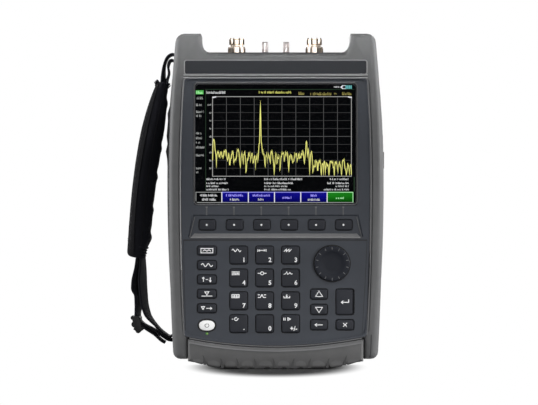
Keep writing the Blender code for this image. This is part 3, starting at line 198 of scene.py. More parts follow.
glowFinishes = {
    # colour, and the colour of a cell's lower edge
    "screenBlack": [(0.0012, 0.0014, 0.0018)], "traceYellow": [(0.930, 0.910, 0.240)],
    "traceDim": [(0.290, 0.290, 0.080)], "gridGrey": [(0.080, 0.080, 0.080)],
    "gridDim": [(0.042, 0.042, 0.042)], "frameWhite": [(0.420, 0.420, 0.410)],
    "edgeWhite": [(0.800, 0.800, 0.850)], "edgeBlue": [(0.280, 0.280, 0.830)],
    "textWhite": [(0.550, 0.560, 0.560)], "textGrey": [(0.300, 0.310, 0.300)],
    "textBlue": [(0.340, 0.300, 0.930)], "textYellow": [(0.560, 0.550, 0.130)],
    "textOlive": [(0.240, 0.210, 0.060)], "textGreen": [(0.420, 0.900, 0.420)],
    "lampGreen": [(0.190, 0.330, 0.090)], "lineGreen": [(0.022, 0.044, 0.024)],
    "badgeGreen": [(0.085, 0.480, 0.085)], "cellGreen": [(0.010, 0.210, 0.010), (0.001, 0.040, 0.001)],
    "cellBlue": [(0.004, 0.003, 0.230), (0.001, 0.001, 0.070)], "batteryCyan": [(0.140, 0.500, 0.500)],
}
clothFinishes = {
    # colour, pitch of the yarns across and along in mm, lift in mm, sheen, whether the piece has a cloth map
    "strapWeb": ((0.0046, 0.0049, 0.0068), 1.1, 1.6, 0.28, 0.02, True),
    "padSleeve": ((0.0052, 0.0054, 0.0074), 0.8, 0.8, 0.12, 0.02, False),
    "padBinding": ((0.0050, 0.0050, 0.0058), 0.9, 1.1, 0.16, 0.01, False),
    "stitchThread": ((0.0320, 0.0320, 0.0345), 0.4, 0.4, 0.04, 0.05, False),
}


def mouldedFinish(name, colour, cloud, grain, grainLift, rough, spread, shine=0.22):
    shader, place = startFinish(name, {"Specular IOR Level": shine})
    tone = place.noise(0.035, 4) * 0.7 + place.noise(0.006, 2) * 0.3
    speck = place.noise(grain * mm, 2, 0.6)
    feed(shader,
         colour=tone.fade(0.25, 0.75).mix(tint(colour, 1 - cloud), tint(colour, 1 + cloud)),
         roughness=rough - spread / 2 + spread * (0.6 * tone + 0.4 * speck),
         normal=speck.bump(0.35, grainLift * mm))


def metalFinish(name, colour, rough, spread, streak):
    shader, place = startFinish(name, {"Metallic": 1.0})
    lines = place.stretch(*(1 / size for size in streak)).noise(mm, 3)
    cloud = place.noise(0.006, 3)
    feed(shader,
         colour=cloud.fade(0.3, 0.75).mix(tint(colour, 0.86), tint(colour, 1.06)),
         roughness=rough - spread / 2 + spread * (0.5 * lines + 0.5 * cloud),
         normal=lines.bump(0.25, 0.00001))


def glowFinish(name, colour, lowColour=None):
    # lit pixels, with a faint unevenness of the lamp behind them; the cells darken towards their lower edge
    shader, place = startFinish(name, {"Roughness": 0.6, "Emission Strength": 1.0, "Specular IOR Level": 0.0,
                                       "Base Color": rgb(0.001, 0.001, 0.001)})
    level = place.noise(0.05, 1).fade(-0.6, 0.9)
    if lowColour:
        level = level * place.axis("Z").fade(*cellFade)
    feed(shader, glow=level.mix(tint(lowColour, 1.0) if lowColour else tint(colour, 0.75),
                                tint(colour, 1.08)))


def clothFinish(name, colour, rib, pick, lift, sheen, mapped):
    # yarns run along the strap and across it: webbing reads its own map, in metres, sewn pieces their place
    shader, place = startFinish(name, {"Sheen Weight": sheen, "Sheen Roughness": 0.5,
                                       "Sheen Tint": rgb(0.35, 0.35, 0.38), "Specular IOR Level": 0.06})
    cloth = place.add("ShaderNodeTexCoord", None, None, "UV") if mapped else place
    across = cloth.axis("X") if mapped else cloth.axis("X") + cloth.axis("Y")
    along = cloth.axis("Y" if mapped else "Z")
    shift = across.math("SIGN", across.wave(2 * rib * mm)) * (pick * mm / 4)
    yarn = (0.5 + 0.5 * across.wave(rib * mm)) * (0.55 + 0.45 * (along + shift).wave(pick * mm))
    fluff = place.noise(0.0009, 3)
    tone = yarn * 0.55 + fluff * 0.25 + place.noise(0.022, 3).fade(0.35, 0.75) * 0.20
    feed(shader,
         colour=tone.mix(tint(colour, 0.45), tint(colour, 1.75)),
         roughness=0.72 + 0.16 * fluff,
         normal=(yarn + 0.3 * fluff).bump(0.7, lift * mm))


def specialFinishes():
    shader, place = startFinish("lensGlass", {"Base Color": rgb(0.97, 0.97, 0.98), "Transmission Weight": 1.0,
                                              "IOR": 1.0})
    feed(shader, roughness=0.015 + 0.03 * place.noise(0.018, 4).fade(0.45, 0.8))

    shader, place = startFinish("greenLight", {"Roughness": 0.25, "Emission Strength": 1.0,
                                               "Base Color": rgb(0.03, 0.16, 0.03)})
    feed(shader, glow=place.noise(0.0012, 2).mix(rgb(0.006, 0.020, 0.003), rgb(0.014, 0.040, 0.006)))

    # solder mask over copper tracks, with pads
    shader, place = startFinish("boardGreen", {"Specular IOR Level": 0.5})
    tracks = place.add("ShaderNodeTexBrick", {"offset": 0.37, "squash": 0.8},
                       {"Vector": place, "Scale": 90.0, "Mortar Size": 0.03}, "Fac")
    cells = place.add("ShaderNodeTexVoronoi", None, {"Vector": place, "Scale": 320.0})
    pads = cells.math("LESS_THAN", cells, 0.16)
    mask = tracks.mix(rgb(0.012, 0.110, 0.045), rgb(0.030, 0.200, 0.080))
    feed(shader, colour=pads.mix(mask, rgb(0.50, 0.46, 0.36)), roughness=0.42 - 0.12 * pads,
         normal=tracks.bump(0.3, 0.00003))


for make, looks in ((mouldedFinish, mouldedFinishes), (metalFinish, metalFinishes),
                    (glowFinish, glowFinishes), (clothFinish, clothFinishes)):
    for name, look in looks.items():
        make(name, *look)
specialFinishes()
print("finishes made:", len(finishes))


def newShapes(count):
    return [bmesh.new() for k in range(count)]


def meshFrom(name, bm, bend):
    bmesh.ops.recalc_face_normals(bm, faces=bm.faces)
    for edge in bm.edges:
        edge.smooth = len(edge.link_faces) == 2 and edge.calc_face_angle(0) < math.radians(bend)
    mesh = bpy.data.meshes.new(name)
    bm.to_mesh(mesh)
    bm.free()
    return mesh


def addPiece(name, shape, finish, slot, bend=0, body="case", nodeNames=()):
    # faces shade smoothly over edges that bend by less than bend degrees; without it they are flat
    mesh = shape if isinstance(shape, bpy.types.Mesh) else meshFrom(name, shape, bend)
    piece = bpy.data.objects.new(name, mesh)
    bpy.context.scene.collection.objects.link(piece)
    mesh.materials.clear()
    mesh.materials.append(finishes[finish])
    for face in mesh.polygons:
        face.use_smooth = bend > 0
    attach(piece, body)
    if nodeNames:
        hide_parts(*nodeNames)
    return piece


def loftRings(bm, rings, closed=False):
    rows = [[bm.verts.new(p) for p in ring] for ring in rings]
    count = len(rows[0])
    for low, high in list(zip(rows, rows[1:])) + ([(rows[-1], rows[0])] if closed else []):
        for i in range(count):
            j = (i + 1) % count
            bm.faces.new((low[i], low[j], high[j], high[i]))
    if not closed:
        bm.faces.new(rows[0][::-1])
        bm.faces.new(rows[-1])


# most front pieces are drawn as (x, z) points and then given a depth along y
def placed(points, x, z):
    return [(x + u, z + v) for u, v in points]


def atDepth(points, y):
    return [(x, y, z) for x, z in points]


def evenSteps(low, high, steps):
    return [low + (high - low) * k / steps for k in range(steps + 1)]


def circle(steps, shift=0.0):
    return [2 * math.pi * (k + shift) / steps for k in range(steps)]


def discPoints(x, z, radius, steps=16):
    return [(x + radius * math.cos(a), z + radius * math.sin(a)) for a in circle(steps)]


def arcPoints(radius, start, end, steps=14):
    return [(radius * math.cos(a), radius * math.sin(a))
            for a in map(math.radians, evenSteps(start, end, steps))]


def roundedLoop(width, height, corner, steps=6, bow=0.0):
    # a rounded rectangle round the origin; bow pushes the right side out
    points = []
    for cx, cz, start in ((1, 1, 0), (-1, 1, 90), (-1, -1, 180), (1, -1, 270)):
        points += placed(arcPoints(corner, start, start + 90, steps), cx * (width / 2 - corner),
                         cz * (height / 2 - corner))
    if bow:
        points = [(x - bow * (2 * z / height) ** 2 * max(0.0, 2 * x / width), z) for x, z in points]
    return points


def ovalLoop(width, height, steps=48, square=2.3):
    def side(value, length):
        return math.copysign(abs(value) ** (2 / square), value) * length / 2

    return [(side(math.cos(a), width), side(math.sin(a), height)) for a in circle(steps)]


def outlinePlate(bm, points, front, depth):
    loftRings(bm, [atDepth(points, front + depth), atDepth(points, front)])


def ringPlate(bm, outer, inner, front, depth=skin):
    back = front + depth
    loftRings(bm, [atDepth(outer, front), atDepth(inner, front), atDepth(inner, back), atDepth(outer, back)],
              True)


def ribbon(bm, first, last, front, depth, closed=False):
    # a flat band between two lines with as many points
    back = front + depth
    loftRings(bm, [[(a[0], front, a[1]), (b[0], front, b[1]), (b[0], back, b[1]), (a[0], back, a[1])]
                   for a, b in zip(first, last)], closed)


def beside(points, i, closed):
    # the points before and after one
    last = len(points) - 1
    return (points[i - 1] if i or closed else points[i],
            points[(i + 1) % (last + 1)] if i < last or closed else points[i])


def stroke(bm, points, width, front, depth=skin, closed=False):
    # a flat line of even width
    left, right = [], []
    for i, (x, z) in enumerate(points):
        before, after = beside(points, i, closed)
        first = Vector((x - before[0], z - before[1]))
        last = Vector((after[0] - x, after[1] - z))
        first = first.normalized() if first.length > 1e-9 else last.normalized()
        last = last.normalized() if last.length > 1e-9 else first
        mean = (first + last).normalized() if (first + last).length > 1e-6 else first
        reach = min(2.0, 1 / max(0.3, mean.dot(first)))
        out = Vector((-mean.y, mean.x)) * (width / 2 * reach)
        left.append((x + out.x, z + out.y))
        right.append((x - out.x, z - out.y))
    ribbon(bm, left, right, front, depth, closed)


def beadLoop(bm, points, width, front, height=skin, closed=False):
    # a low rounded bead that follows a line on a face
    arch = [(math.cos(a), -math.sin(a)) for a in evenSteps(0, math.pi, 8)] + [(-1, 1), (1, 1)]
    rings = []
    for i, (x, z) in enumerate(points):
        before, after = beside(points, i, closed)
        run = Vector((after[0] - before[0], after[1] - before[1])).normalized()
        rings.append([(x - run.y * u * width / 2, front + v * height, z + run.x * u * width / 2)
                      for u, v in arch])
    loftRings(bm, rings, closed)


def turnedForm(bm, profile, x, y, base, steps):
    # profile is (radius, height) from one end to the other, about an upright axis
    loftRings(bm, [[(u, v, base + height) for u, v in discPoints(x, y, radius, steps)]
                   for radius, height in profile])


def middleOf(name):
    low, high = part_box(name)
    return (low + high) / 2


# how a node is joined, shaded, flattened and rounded: metres, then degrees
nodeEdges = dict(reach=2e-6, shade=34, flat=0.4, bevel=38)


def makeJoinGroup():
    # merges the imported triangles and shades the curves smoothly
    group = bpy.data.node_groups.new("joinAndShade", "GeometryNodeTree")
    for way in ("INPUT", "OUTPUT"):
        group.interface.new_socket("Geometry", in_out=way, socket_type="NodeSocketGeometry")
    start, end, join, bend, sharp, shade = [group.nodes.new(kind) for kind in (
        "NodeGroupInput", "NodeGroupOutput", "GeometryNodeMergeByDistance", "GeometryNodeInputMeshEdgeAngle",
        "FunctionNodeCompare", "GeometryNodeSetMeshNormal")]
    join.inputs["Distance"].default_value = nodeEdges["reach"]
    sharp.operation = "GREATER_THAN"
    sharp.inputs[1].default_value = math.radians(nodeEdges["shade"])
    shade.mode = "SHARPNESS"
    shade.inputs["Remove Custom"].default_value = True
    for output, target in ((start.outputs[0], join.inputs["Geometry"]),
                           (bend.outputs["Unsigned Angle"], sharp.inputs[0]),
                           (join.outputs["Geometry"], shade.inputs["Mesh"]),
                           (sharp.outputs[0], shade.inputs["Edge Sharpness"]),
                           (shade.outputs["Mesh"], end.inputs[0])):
        group.links.new(output, target)
    return group


joinGroup = makeJoinGroup()
nodeFinishes = {
    # node: finish, edge rounding in mm
    "front_bezel": ("housingGrey", 0.6), "rear_shell": ("housingGrey", 0.6),
    "battery_door": ("housingGrey", 0.5), "bottom_bumper": ("bumperGrey", 0.7),
    "port_door": ("bumperGrey", 0.5), "keypad_mat": ("bumperGrey", 0.2), "front_panel": ("panelSatin", 0.3),
    "name_strip": ("stripSatin", 0.2), "display_lens": ("lensGlass", 0.2),
    "display_module": ("blackPlastic", 0.3), "rotary_encoder": ("screwSteel", 0.2),
    "power_light": ("greenLight", 0.2), "keypad_board": ("boardGreen", 0.1),
    "main_board": ("boardGreen", 0.1), "top_plate": ("plateSteel", 0.3), "rf_module": ("canTin", 0.5),
    "battery_pack": ("batteryBlack", 1.0), "tilt_bail": ("blackPlastic", 0.6),
}
nodeFinishes.update({"case_screw_%d" % k: ("screwSteel", 0.2) for k in range(1, 5)})


def softenNode(name, finish, rounding):
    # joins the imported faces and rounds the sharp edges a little
    node = nodes[name]
    node.data.materials.clear()
    node.data.materials.append(finishes[finish])
    node.modifiers.new("join", "NODES").node_group = joinGroup
    flat = node.modifiers.new("flat", "DECIMATE")
    flat.decimate_type = "DISSOLVE"
    flat.angle_limit = math.radians(nodeEdges["flat"])
    edge = node.modifiers.new("edge", "BEVEL")
    edge.limit_method = "ANGLE"
    edge.angle_limit = math.radians(nodeEdges["bevel"])
    edge.width = rounding * mm
    edge.segments = 2
    edge.use_clamp_overlap = True
    edge.harden_normals = True


for name, (finish, rounding) in nodeFinishes.items():
    softenNode(name, finish, rounding)
print("case nodes finished")

# outline of the case in metres, with half-widths
case = dict(half=0.0937, belly=0.165, height=0.29333, footTaper=0.0047, shoulderTaper=0.0067,
            bumperTop=0.0185, bumperBow=0.0075, bumperHalf=0.07667, rail=0.0112, sill=0.0038,
            panelTop=0.25373, stripZ=0.26368, railTop=0.27683)
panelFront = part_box("front_panel")[0].y
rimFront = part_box("front_bezel")[0].y


def caseSide(z):
    # half-width of the case at a height
    belly = case["belly"]
    if z < belly:
        return case["half"] - case["footTaper"] * ((belly - z) / belly) ** 2
    return case["half"] - case["shoulderTaper"] * ((z - belly) / (case["height"] - belly)) ** 2


def bumperLine(x):
    return case["bumperTop"] + case["bumperBow"] * (x / case["bumperHalf"]) ** 2


def panelLoop(side, lift, top, corner):
    # a loop inside the bezel: the sides follow the case, the lower edge follows the bumper
    edge = caseSide(bumperLine(case["bumperHalf"]) + lift) - side - corner
    low, high = bumperLine(edge) + lift + corner, top - corner
    right = [(x, bumperLine(x) + lift) for x in evenSteps(0, edge, 12)[1:12]]
    right += placed(arcPoints(corner, -90, 0, 6), edge, low)
    right += [(caseSide(z) - side, z) for z in evenSteps(low, high, 20)[1:20]]
    right += placed(arcPoints(corner, 0, 90, 6), caseSide(high) - side - corner, high)
    return right + [(-x, z) for x, z in reversed(right)]


# keys: a flange under the panel, then a cap with a rounded edge and a slightly crowned face
keyCap = dict(flange=0.0010, flangeThick=0.0010, edge=0.0008, crown=0.00020, taper=0.00020, corner=0.0020,
              inset=0.00045, gap=0.00066, lip=0.0010, bow=0.0, stem=0.0006)
keyForms = {
    "softkey_": dict(corner=0.0018, crown=0.00010, inset=0.00030), "enter_key": dict(bow=0.0012),
    "power_key": dict(corner=0.0040, edge=0.0012, crown=0.00040, domeWidth=0.0136, domeHeight=0.0088),
}
crownShares = (0.72, 0.42, 0.14)
powerHole = ((0.0140, 0.0090), (0.0166, 0.0120))   # the oval round the power key, inside and outside


def keyForm(name):
    form = dict(keyCap)
    for start, changes in keyForms.items():
        if name.startswith(start):
            form.update(changes)
    low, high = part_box(name)
    middle = middleOf(name)
    under = form["flange"] + form["inset"]
    form.update(x=middle.x, z=middle.z, front=low.y, back=high.y,
                width=high.x - low.x - 2 * under, height=high.z - low.z - 2 * under)
    return form


def keyShape(form):
    edge, crown, front, back, stem = (form[key] for key in ("edge", "crown", "front", "back", "stem"))
    step = back - form["flangeThick"]
    under = -form["flange"] - form["inset"]
    bm = bmesh.new()

    def ring(inset, y):
        loop = roundedLoop(form["width"] - 2 * inset, form["height"] - 2 * inset,
                           max(0.0004, form["corner"] - inset), 6, form["bow"])
        return atDepth(placed(loop, form["x"], form["z"]), y)

    def oval(inset, y, share=1.0):
        loop = ovalLoop((form["domeWidth"] - 2 * inset) * share, (form["domeHeight"] - 2 * inset) * share)
        return atDepth(placed(loop, form["x"], form["z"]), y)

    if "domeWidth" in form:   # an oval dome that overhangs its stem
        loftRings(bm, [ring(under, back), ring(under, step), ring(stem, step), ring(stem, front + 0.0005)])
        rings = [oval(0.0004, front + stem)]
        for a in evenSteps(0, math.pi / 2, 6):
            rings.append(oval(edge * (1 - math.cos(a)), front + crown + (stem - crown) * (1 - math.sin(a))))
        rings += [oval(edge, front + crown * share ** 2, share) for share in crownShares]
    else:
        rings = [ring(under, back), ring(under, step), ring(0, step)]
        for a in evenSteps(0, math.pi / 2, 5):
            rings.append(ring(form["taper"] + edge * (1 - math.cos(a)),
                              front + crown + edge * (1 - math.sin(a))))
        room = min(form["width"], form["height"]) / 2 - edge
        for share in crownShares:
            rings.append(ring(edge + form["taper"] + room * (1 - share), front + crown * share ** 2))
    loftRings(bm, rings)
    return bm


def pressOnto(mesh, form):
    # marks follow the crowned face
    room = min(form["width"], form["height"]) / 2 - form["edge"]
    for vert in mesh.vertices:
        inX = form["width"] / 2 - form["edge"] - abs(vert.co.x - form["x"])
        inZ = form["height"] / 2 - form["edge"] - abs(vert.co.z - form["z"])
        vert.co.y += form["crown"] * (1 - max(0.0, min(inX, inZ, room)) / room) ** 2


def evenLine(points, closed, step=0.5):
    # more points along a sign's lines, so that they follow the crowned face
    found = []
    for (x0, z0), (x1, z1) in zip(points, points[1:]):
        count = max(1, math.ceil(math.hypot(x1 - x0, z1 - z0) / step))
        found += [(x0 + (x1 - x0) * k / count, z0 + (z1 - z0) * k / count) for k in range(count)]
    return found if closed else found + [points[-1]]


# small signs, as lines in millimetres; a line that ends where it starts is closed
signs = {
    "wave": [[(-4 + k / 3, 1.1 * math.sin(k / 3 * math.pi / 2)) for k in range(25)]],
    "band": [[(-3.6, -1.2), (-3.6, 1.2)], [(3.6, -1.2), (3.6, 1.2)], [(-2.7, 0), (2.7, 0)],
             [(-1.7, 0.8), (-2.7, 0), (-1.7, -0.8)], [(1.7, 0.8), (2.7, 0), (1.7, -0.8)]],
    "sweep": [[(-3.6, -1.1), (-1.3, 1.1), (-1.3, -1.1), (1.0, 1.1), (1.0, -1.1), (3.3, 1.1)]],
    "sliders": [[(-3.4, h), (3.4, h)] for h in (1.2, 0, -1.2)]
               + [[(x, h - 0.5), (x, h + 0.5)] for x, h in ((-1.4, 1.2), (1.7, 0), (-0.3, -1.2))],
    "match": [arcPoints(1.35, 0, 350) + [(1.35, 0)], [(-3.8, 0), (-1.4, 0)], [(1.4, 0), (3.8, 0)]],
    "trace": [[(-3.8, -0.8), (-2.2, -0.4), (-1.2, 1.3), (-0.4, -0.9), (0.8, -0.2), (1.6, 0.8), (2.6, -0.7),
               (3.8, -0.4)]],
    "grid": [[(-3.2, -1.3), (3.2, -1.3), (3.2, 1.3), (-3.2, 1.3), (-3.2, -1.3)], [(-1.1, -1.3), (-1.1, 1.3)],
             [(1.1, -1.3), (1.1, 1.3)], [(-3.2, 0), (3.2, 0)]],
    "limit": [[(-3.6, 1.2), (-1.9, 1.2)], [(-0.8, 1.2), (0.8, 1.2)], [(1.9, 1.2), (3.6, 1.2)],
              [(-3.6, -1.1), (-1.4, -1.1), (-0.6, 0.3), (0.6, 0.3), (1.4, -1.1), (3.6, -1.1)]],
    "store": [[(-2.6, 0.2), (-2.6, -1.4), (2.6, -1.4), (2.6, 0.2)], [(0, 1.6), (0, -0.6)],
              [(-0.9, 0.2), (0, -0.7), (0.9, 0.2)]],
    "restart": [arcPoints(1.35, 60, 360), [(0.5, 0.1), (1.4, -0.1), (2.1, 0.7)], [(-3.8, 0), (-2.4, 0)]],
    "hold": [[(-3.0, -1.2), (-3.0, 1.2)], [(-1.8, -1.2), (-1.8, 1.2)],
             [(0.6, 1.2), (0.6, -1.2), (3.0, 0), (0.6, 1.2)]],
    "boxed": [[(-5.2, -1.9), (5.2, -1.9), (5.2, 1.9), (-5.2, 1.9), (-5.2, -1.9)],
              [(-3.6, -0.5), (-1.8, 0.8), (0, -0.5), (1.8, 0.8), (3.6, -0.5)]],
    "levels": [[(-2.4, -1.5), (-2.4, 1.5)], [(-3.2, 0.7), (-2.4, 1.6), (-1.6, 0.7)],
               [(2.4, 1.5), (2.4, -1.5)], [(1.6, -0.7), (2.4, -1.6), (3.2, -0.7)], [(-0.8, 0), (0.8, 0)]],
    "marker": [[(-1.4, 1.5), (1.4, 1.5), (0, -0.8), (-1.4, 1.5)], [(-3.8, -1.5), (3.8, -1.5)]],
    "markerTo": [[(-3.8, 1.2), (-1.6, 1.2), (-2.7, -0.8), (-3.8, 1.2)], [(-0.4, 0), (3.4, 0)],
                 [(2.4, 0.9), (3.4, 0), (2.4, -0.9)]],
    "up": [[(-3.1, -2.0), (3.1, -2.0), (0, 2.7), (-3.1, -2.0)]],
    "down": [[(-3.1, 2.0), (0, -2.7), (3.1, 2.0), (-3.1, 2.0)]],
    "left": [[(-3.4, 0), (3.2, 0)], [(-1.8, 1.4), (-3.5, 0), (-1.8, -1.4)]],
    "cross": [[(-1.6, -1.6), (1.6, 1.6)], [(-1.6, 1.6), (1.6, -1.6)]],
    "return": [[(3.2, 2.2), (3.2, -0.4), (-3.2, -0.4)], [(-1.6, 1.0), (-3.3, -0.4), (-1.6, -1.8)]],
    "power": [arcPoints(1.7, 118, 422, 22), [(0, 0.6), (0, 2.3)]],
}
numberSigns = dict(zip("1 2 3 4 5 6 7 8 9 dot sign".split(),
                       "wave band sweep sliders match trace grid limit store restart hold".split()))
keySigns = {"key_" + name: sign for name, sign in numberSigns.items()}
keySigns.update(function_key_1="boxed", function_key_2="wave", function_key_3="levels",
                function_key_4="marker", function_key_5="markerTo", up_key="up", down_key="down",
                back_key="left", escape_key="cross", enter_key="return", power_key="power")
# a number key's small sign starts up and to the left of its digit
markLook = dict(line=0.00068, lift=0.00004, depth=0.00016, digit=0.0054, dot=0.00085, dotShift=-0.0005,
                legend=(-6.0, 4.1), digitSpot=(4.6, -4.3), digitBold=0.028)
markLines = {"power": 0.7, "up": 0.85, "down": 0.85}


def digitMesh(text, x, front, z):
    words = bpy.data.curves.new("digit", "FONT")
    words.body, words.size = text, markLook["digit"]
    words.align_x = words.align_y = "CENTER"
    words.extrude = markLook["depth"] / 2
    words.offset = markLook["digit"] * markLook["digitBold"]
    words.resolution_u = 3
    holder = bpy.data.objects.new("digit", words)
    bpy.context.scene.collection.objects.link(holder)
    bpy.context.view_layer.update()
    mesh = bpy.data.meshes.new_from_object(holder)
    bpy.data.objects.remove(holder)
    place = Matrix.Translation((x, front + markLook["depth"] / 2, z))
    mesh.transform(place @ Matrix.Rotation(math.radians(90), 4, "X"))
    return mesh


def keyMarks(name, form):
    bm = bmesh.new()
    x, z, front, depth = form["x"], form["z"], form["front"] - markLook["lift"], markLook["depth"]
    if name.startswith("softkey"):
        outlinePlate(bm, discPoints(x + markLook["dotShift"], z, markLook["dot"]), front, depth)
    sign = keySigns.get(name)
    digit = {"dot": ".", "sign": "+/-"}.get(name[4:], name[4:]) if name.startswith("key_") else None
    lines = signs.get(sign, [])
    grow = 1.25 if name.startswith("function") and sign != "boxed" else 1.0
    left, up = markLook["legend"]
    shift = (left - min(u for points in lines for u, v in points), up) if digit and lines else (0, 0)
    for points in lines:
        closed = points[0] == points[-1]
        line = [(x + (u * grow + shift[0]) * mm, z + (v * grow + shift[1]) * mm)
                for u, v in evenLine(points, closed)]
        stroke(bm, line, markLook["line"] * markLines.get(sign, 1.0), front, depth, closed)
    if digit:
        right, down = markLook["digitSpot"]
        right -= 1.9 if len(digit) > 1 else 0
        down += 0.7 if digit == "." else 0
        letter = digitMesh(digit, x + right * mm, front, z + down * mm)
        bm.from_mesh(letter)
        bpy.data.meshes.remove(letter)
    mesh = meshFrom("mark_" + name, bm, 30)
    pressOnto(mesh, form)
    return mesh


def makeKeys():
    # each key sits in a ring of painted shade that stands for its dark gap, with a thin lip of panel round it
    gapShades, lips, core = newShapes(3)
    names = sorted(name for name in nodes
                   if name.startswith(("key_", "softkey_", "function_key_")) or name.endswith("_key"))
    for name in names:
        form = keyForm(name)
        x, z, white = form["x"], form["z"], name == "power_key"
        looks = ("whiteKey", "white_key", "bevelGrey", "key_rubber") if white else (
            "keyRubber", "key_rubber", "markWhite", "white_key")
        addPiece("cap_" + name, keyShape(form), *looks[:2], 50, name, [name])
        addPiece("mark_" + name, keyMarks(name, form), *looks[2:], 0, name)
        base = panelFront + (0.001 if name.startswith("softkey") else 0.0)
        wide, tall, corner = form["width"], form["height"], form["corner"]
        hole = [placed(roundedLoop(wide + 2 * grow, tall + 2 * grow, corner + grow), x, z)
                for grow in (0.00006, 0.00090, form["gap"], form["gap"] + form["lip"])]
        # a near-black ring of painted shade in the gap round the key
        ringPlate(gapShades, hole[1], hole[0], base + 0.0011)
        if white:
            hole[2:] = [placed(ovalLoop(*size), x, z) for size in powerHole]
        ringPlate(gapShades if white else lips, hole[3], hole[2], base - 0.00003)
    addPiece("key_gap_shades", gapShades, "keyWell", "black_plastic")
    addPiece("key_lips", lips, "panelSatin", "panel_plastic")
    lamp = middleOf("power_light")
    outlinePlate(core, discPoints(lamp.x + 0.0004, lamp.z, 0.0008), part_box("power_light")[0].y - 0.00006,
                 0.0002)
    addPiece("power_light_core", core, "lampGreen", "green_light")
    print("keys made:", len(names))


makeKeys()

# panel trim: ledge and lines at the softkeys, bead round the screen, rim, strip and keypad groove, with painted
# light on the ledge, beads and rim and painted shade in the grooves
trim = dict(screenX=0.0702, screenLow=0.14483, screenHigh=0.24883, bead=0.0012, tickLow=0.1344,
            tickHigh=0.1420, tickPitch=0.0239, tickShift=-0.0006, ledgeTop=0.1184, ledgeLow=0.1138,
            ledgeHalf=0.0754, ledgeSlant=0.0043, ledgeProud=0.0007, trayTop=0.1328, groove=0.1126,
            grooveBend=0.075, grooveFoot=0.031, stripHalf=0.0805, stripCut=0.25555, seamHalf=0.0600,
            rimLow=0.085)
stripBeads = ((0.2569, 0.0019), (0.2545, 0.0013))   # painted highlight lines along the strip: height, width
grooveSides = ((-1, 0.0806, 0.0786), (1, 0.0800, 0.0756))   # side, half-width at the top and at the foot


def softkeyTrim(tickLow, tickHigh, tickPitch, tickShift, ledgeTop, ledgeLow, ledgeHalf, ledgeSlant,
                ledgeProud, trayTop, **others):
    ticks, tips, ledge, shine, sides = newShapes(5)
    for x in [(k - 2.5) * tickPitch + tickShift for k in range(6)]:
        stroke(ticks, [(x, tickLow), (x, tickHigh)], 0.0012, panelFront - 0.00004)
        # the top end of each line is lighter, a painted highlight
        stroke(tips, [(x, tickHigh - 0.0014), (x, tickHigh)], 0.0017, panelFront - 0.00006)
    addPiece("softkey_lines", ticks, "bevelGrey", "panel_plastic")
    addPiece("softkey_line_tips", tips, "ledgeGrey", "panel_plastic")
    # the ledge is lighter than the panel, painted light on a face that tilts up to the lamps
    profile = [(0.0002, 0.0), (-0.55, 0.06), (-1.0, 0.22), (-0.8, 0.62), (0.0004, 1.0), (0.0008, 0.85)]
    loftRings(ledge, [[(t * (ledgeHalf - ledgeSlant * up), panelFront + (y * ledgeProud if y < 0 else y),
                        ledgeLow + (ledgeTop - ledgeLow) * up) for y, up in profile]
                      for t in evenSteps(-1, 1, 30)])
    addPiece("softkey_ledge", ledge, "ledgeGrey", "grey_plastic", 60)
    # a painted highlight along the ledge's lower edge
    beadLoop(shine, [(t * (ledgeHalf - 0.0012), ledgeLow + 0.0012) for t in evenSteps(-1, 1, 20)], 0.0011,
             panelFront - ledgeProud)
    addPiece("ledge_bead", shine, "edgeGrey", "grey_plastic", 60)
    foot = ledgeLow + 0.001
    # painted highlights on beads up both sides of the tray
    for side in (-1, 1):
        beadLoop(sides, [(side * (ledgeHalf - 0.0002 - ledgeSlant * t), foot + (trayTop - foot) * t)
                         for t in evenSteps(0, 1, 5)], 0.0009, panelFront)
    addPiece("tray_sides", sides, "bevelGrey", "panel_plastic", 60)


def screenTrim(screenX, screenLow, screenHigh, bead, **others):
    beads, lips, mask = newShapes(3)

    def frameLoop(grow, corner, steps):
        loop = roundedLoop(2 * screenX + grow, screenHigh - screenLow + grow, corner, steps)
        return placed(loop, 0, (screenLow + screenHigh) / 2)

    # a painted highlight on the bead round the screen
    beadLoop(beads, frameLoop(2 * bead, 0.0034, 8), 0.0009, panelFront, 0.0002, True)
    addPiece("screen_bead", beads, "bevelGrey", "panel_plastic", 60)
    # painted highlights along the window's lower and upper edges
    for z, reach, wide, lift, proud in ((screenLow - bead - 0.0001, 0.97, 0.0008, 0.0001, 0.0003),
                                        (screenHigh + bead + 0.0004, 0.99, 0.0012, 0, 0.0004)):
        beadLoop(lips, [(screenX * t, z) for t in (-reach, -0.5, 0, 0.5, reach)], wide, panelFront - lift,
                 proud)
    addPiece("screen_lips", lips, "ledgeGrey", "panel_plastic", 60)
    # a near-black ring of painted shade in the window's recess round the screen
    ringPlate(mask, frameLoop(0.0028, 0.0032, 6), frameLoop(-0.0004, 0.0024, 6), panelFront + 0.0009)
    addPiece("screen_recess_shade", mask, "keyWell", "black_plastic")


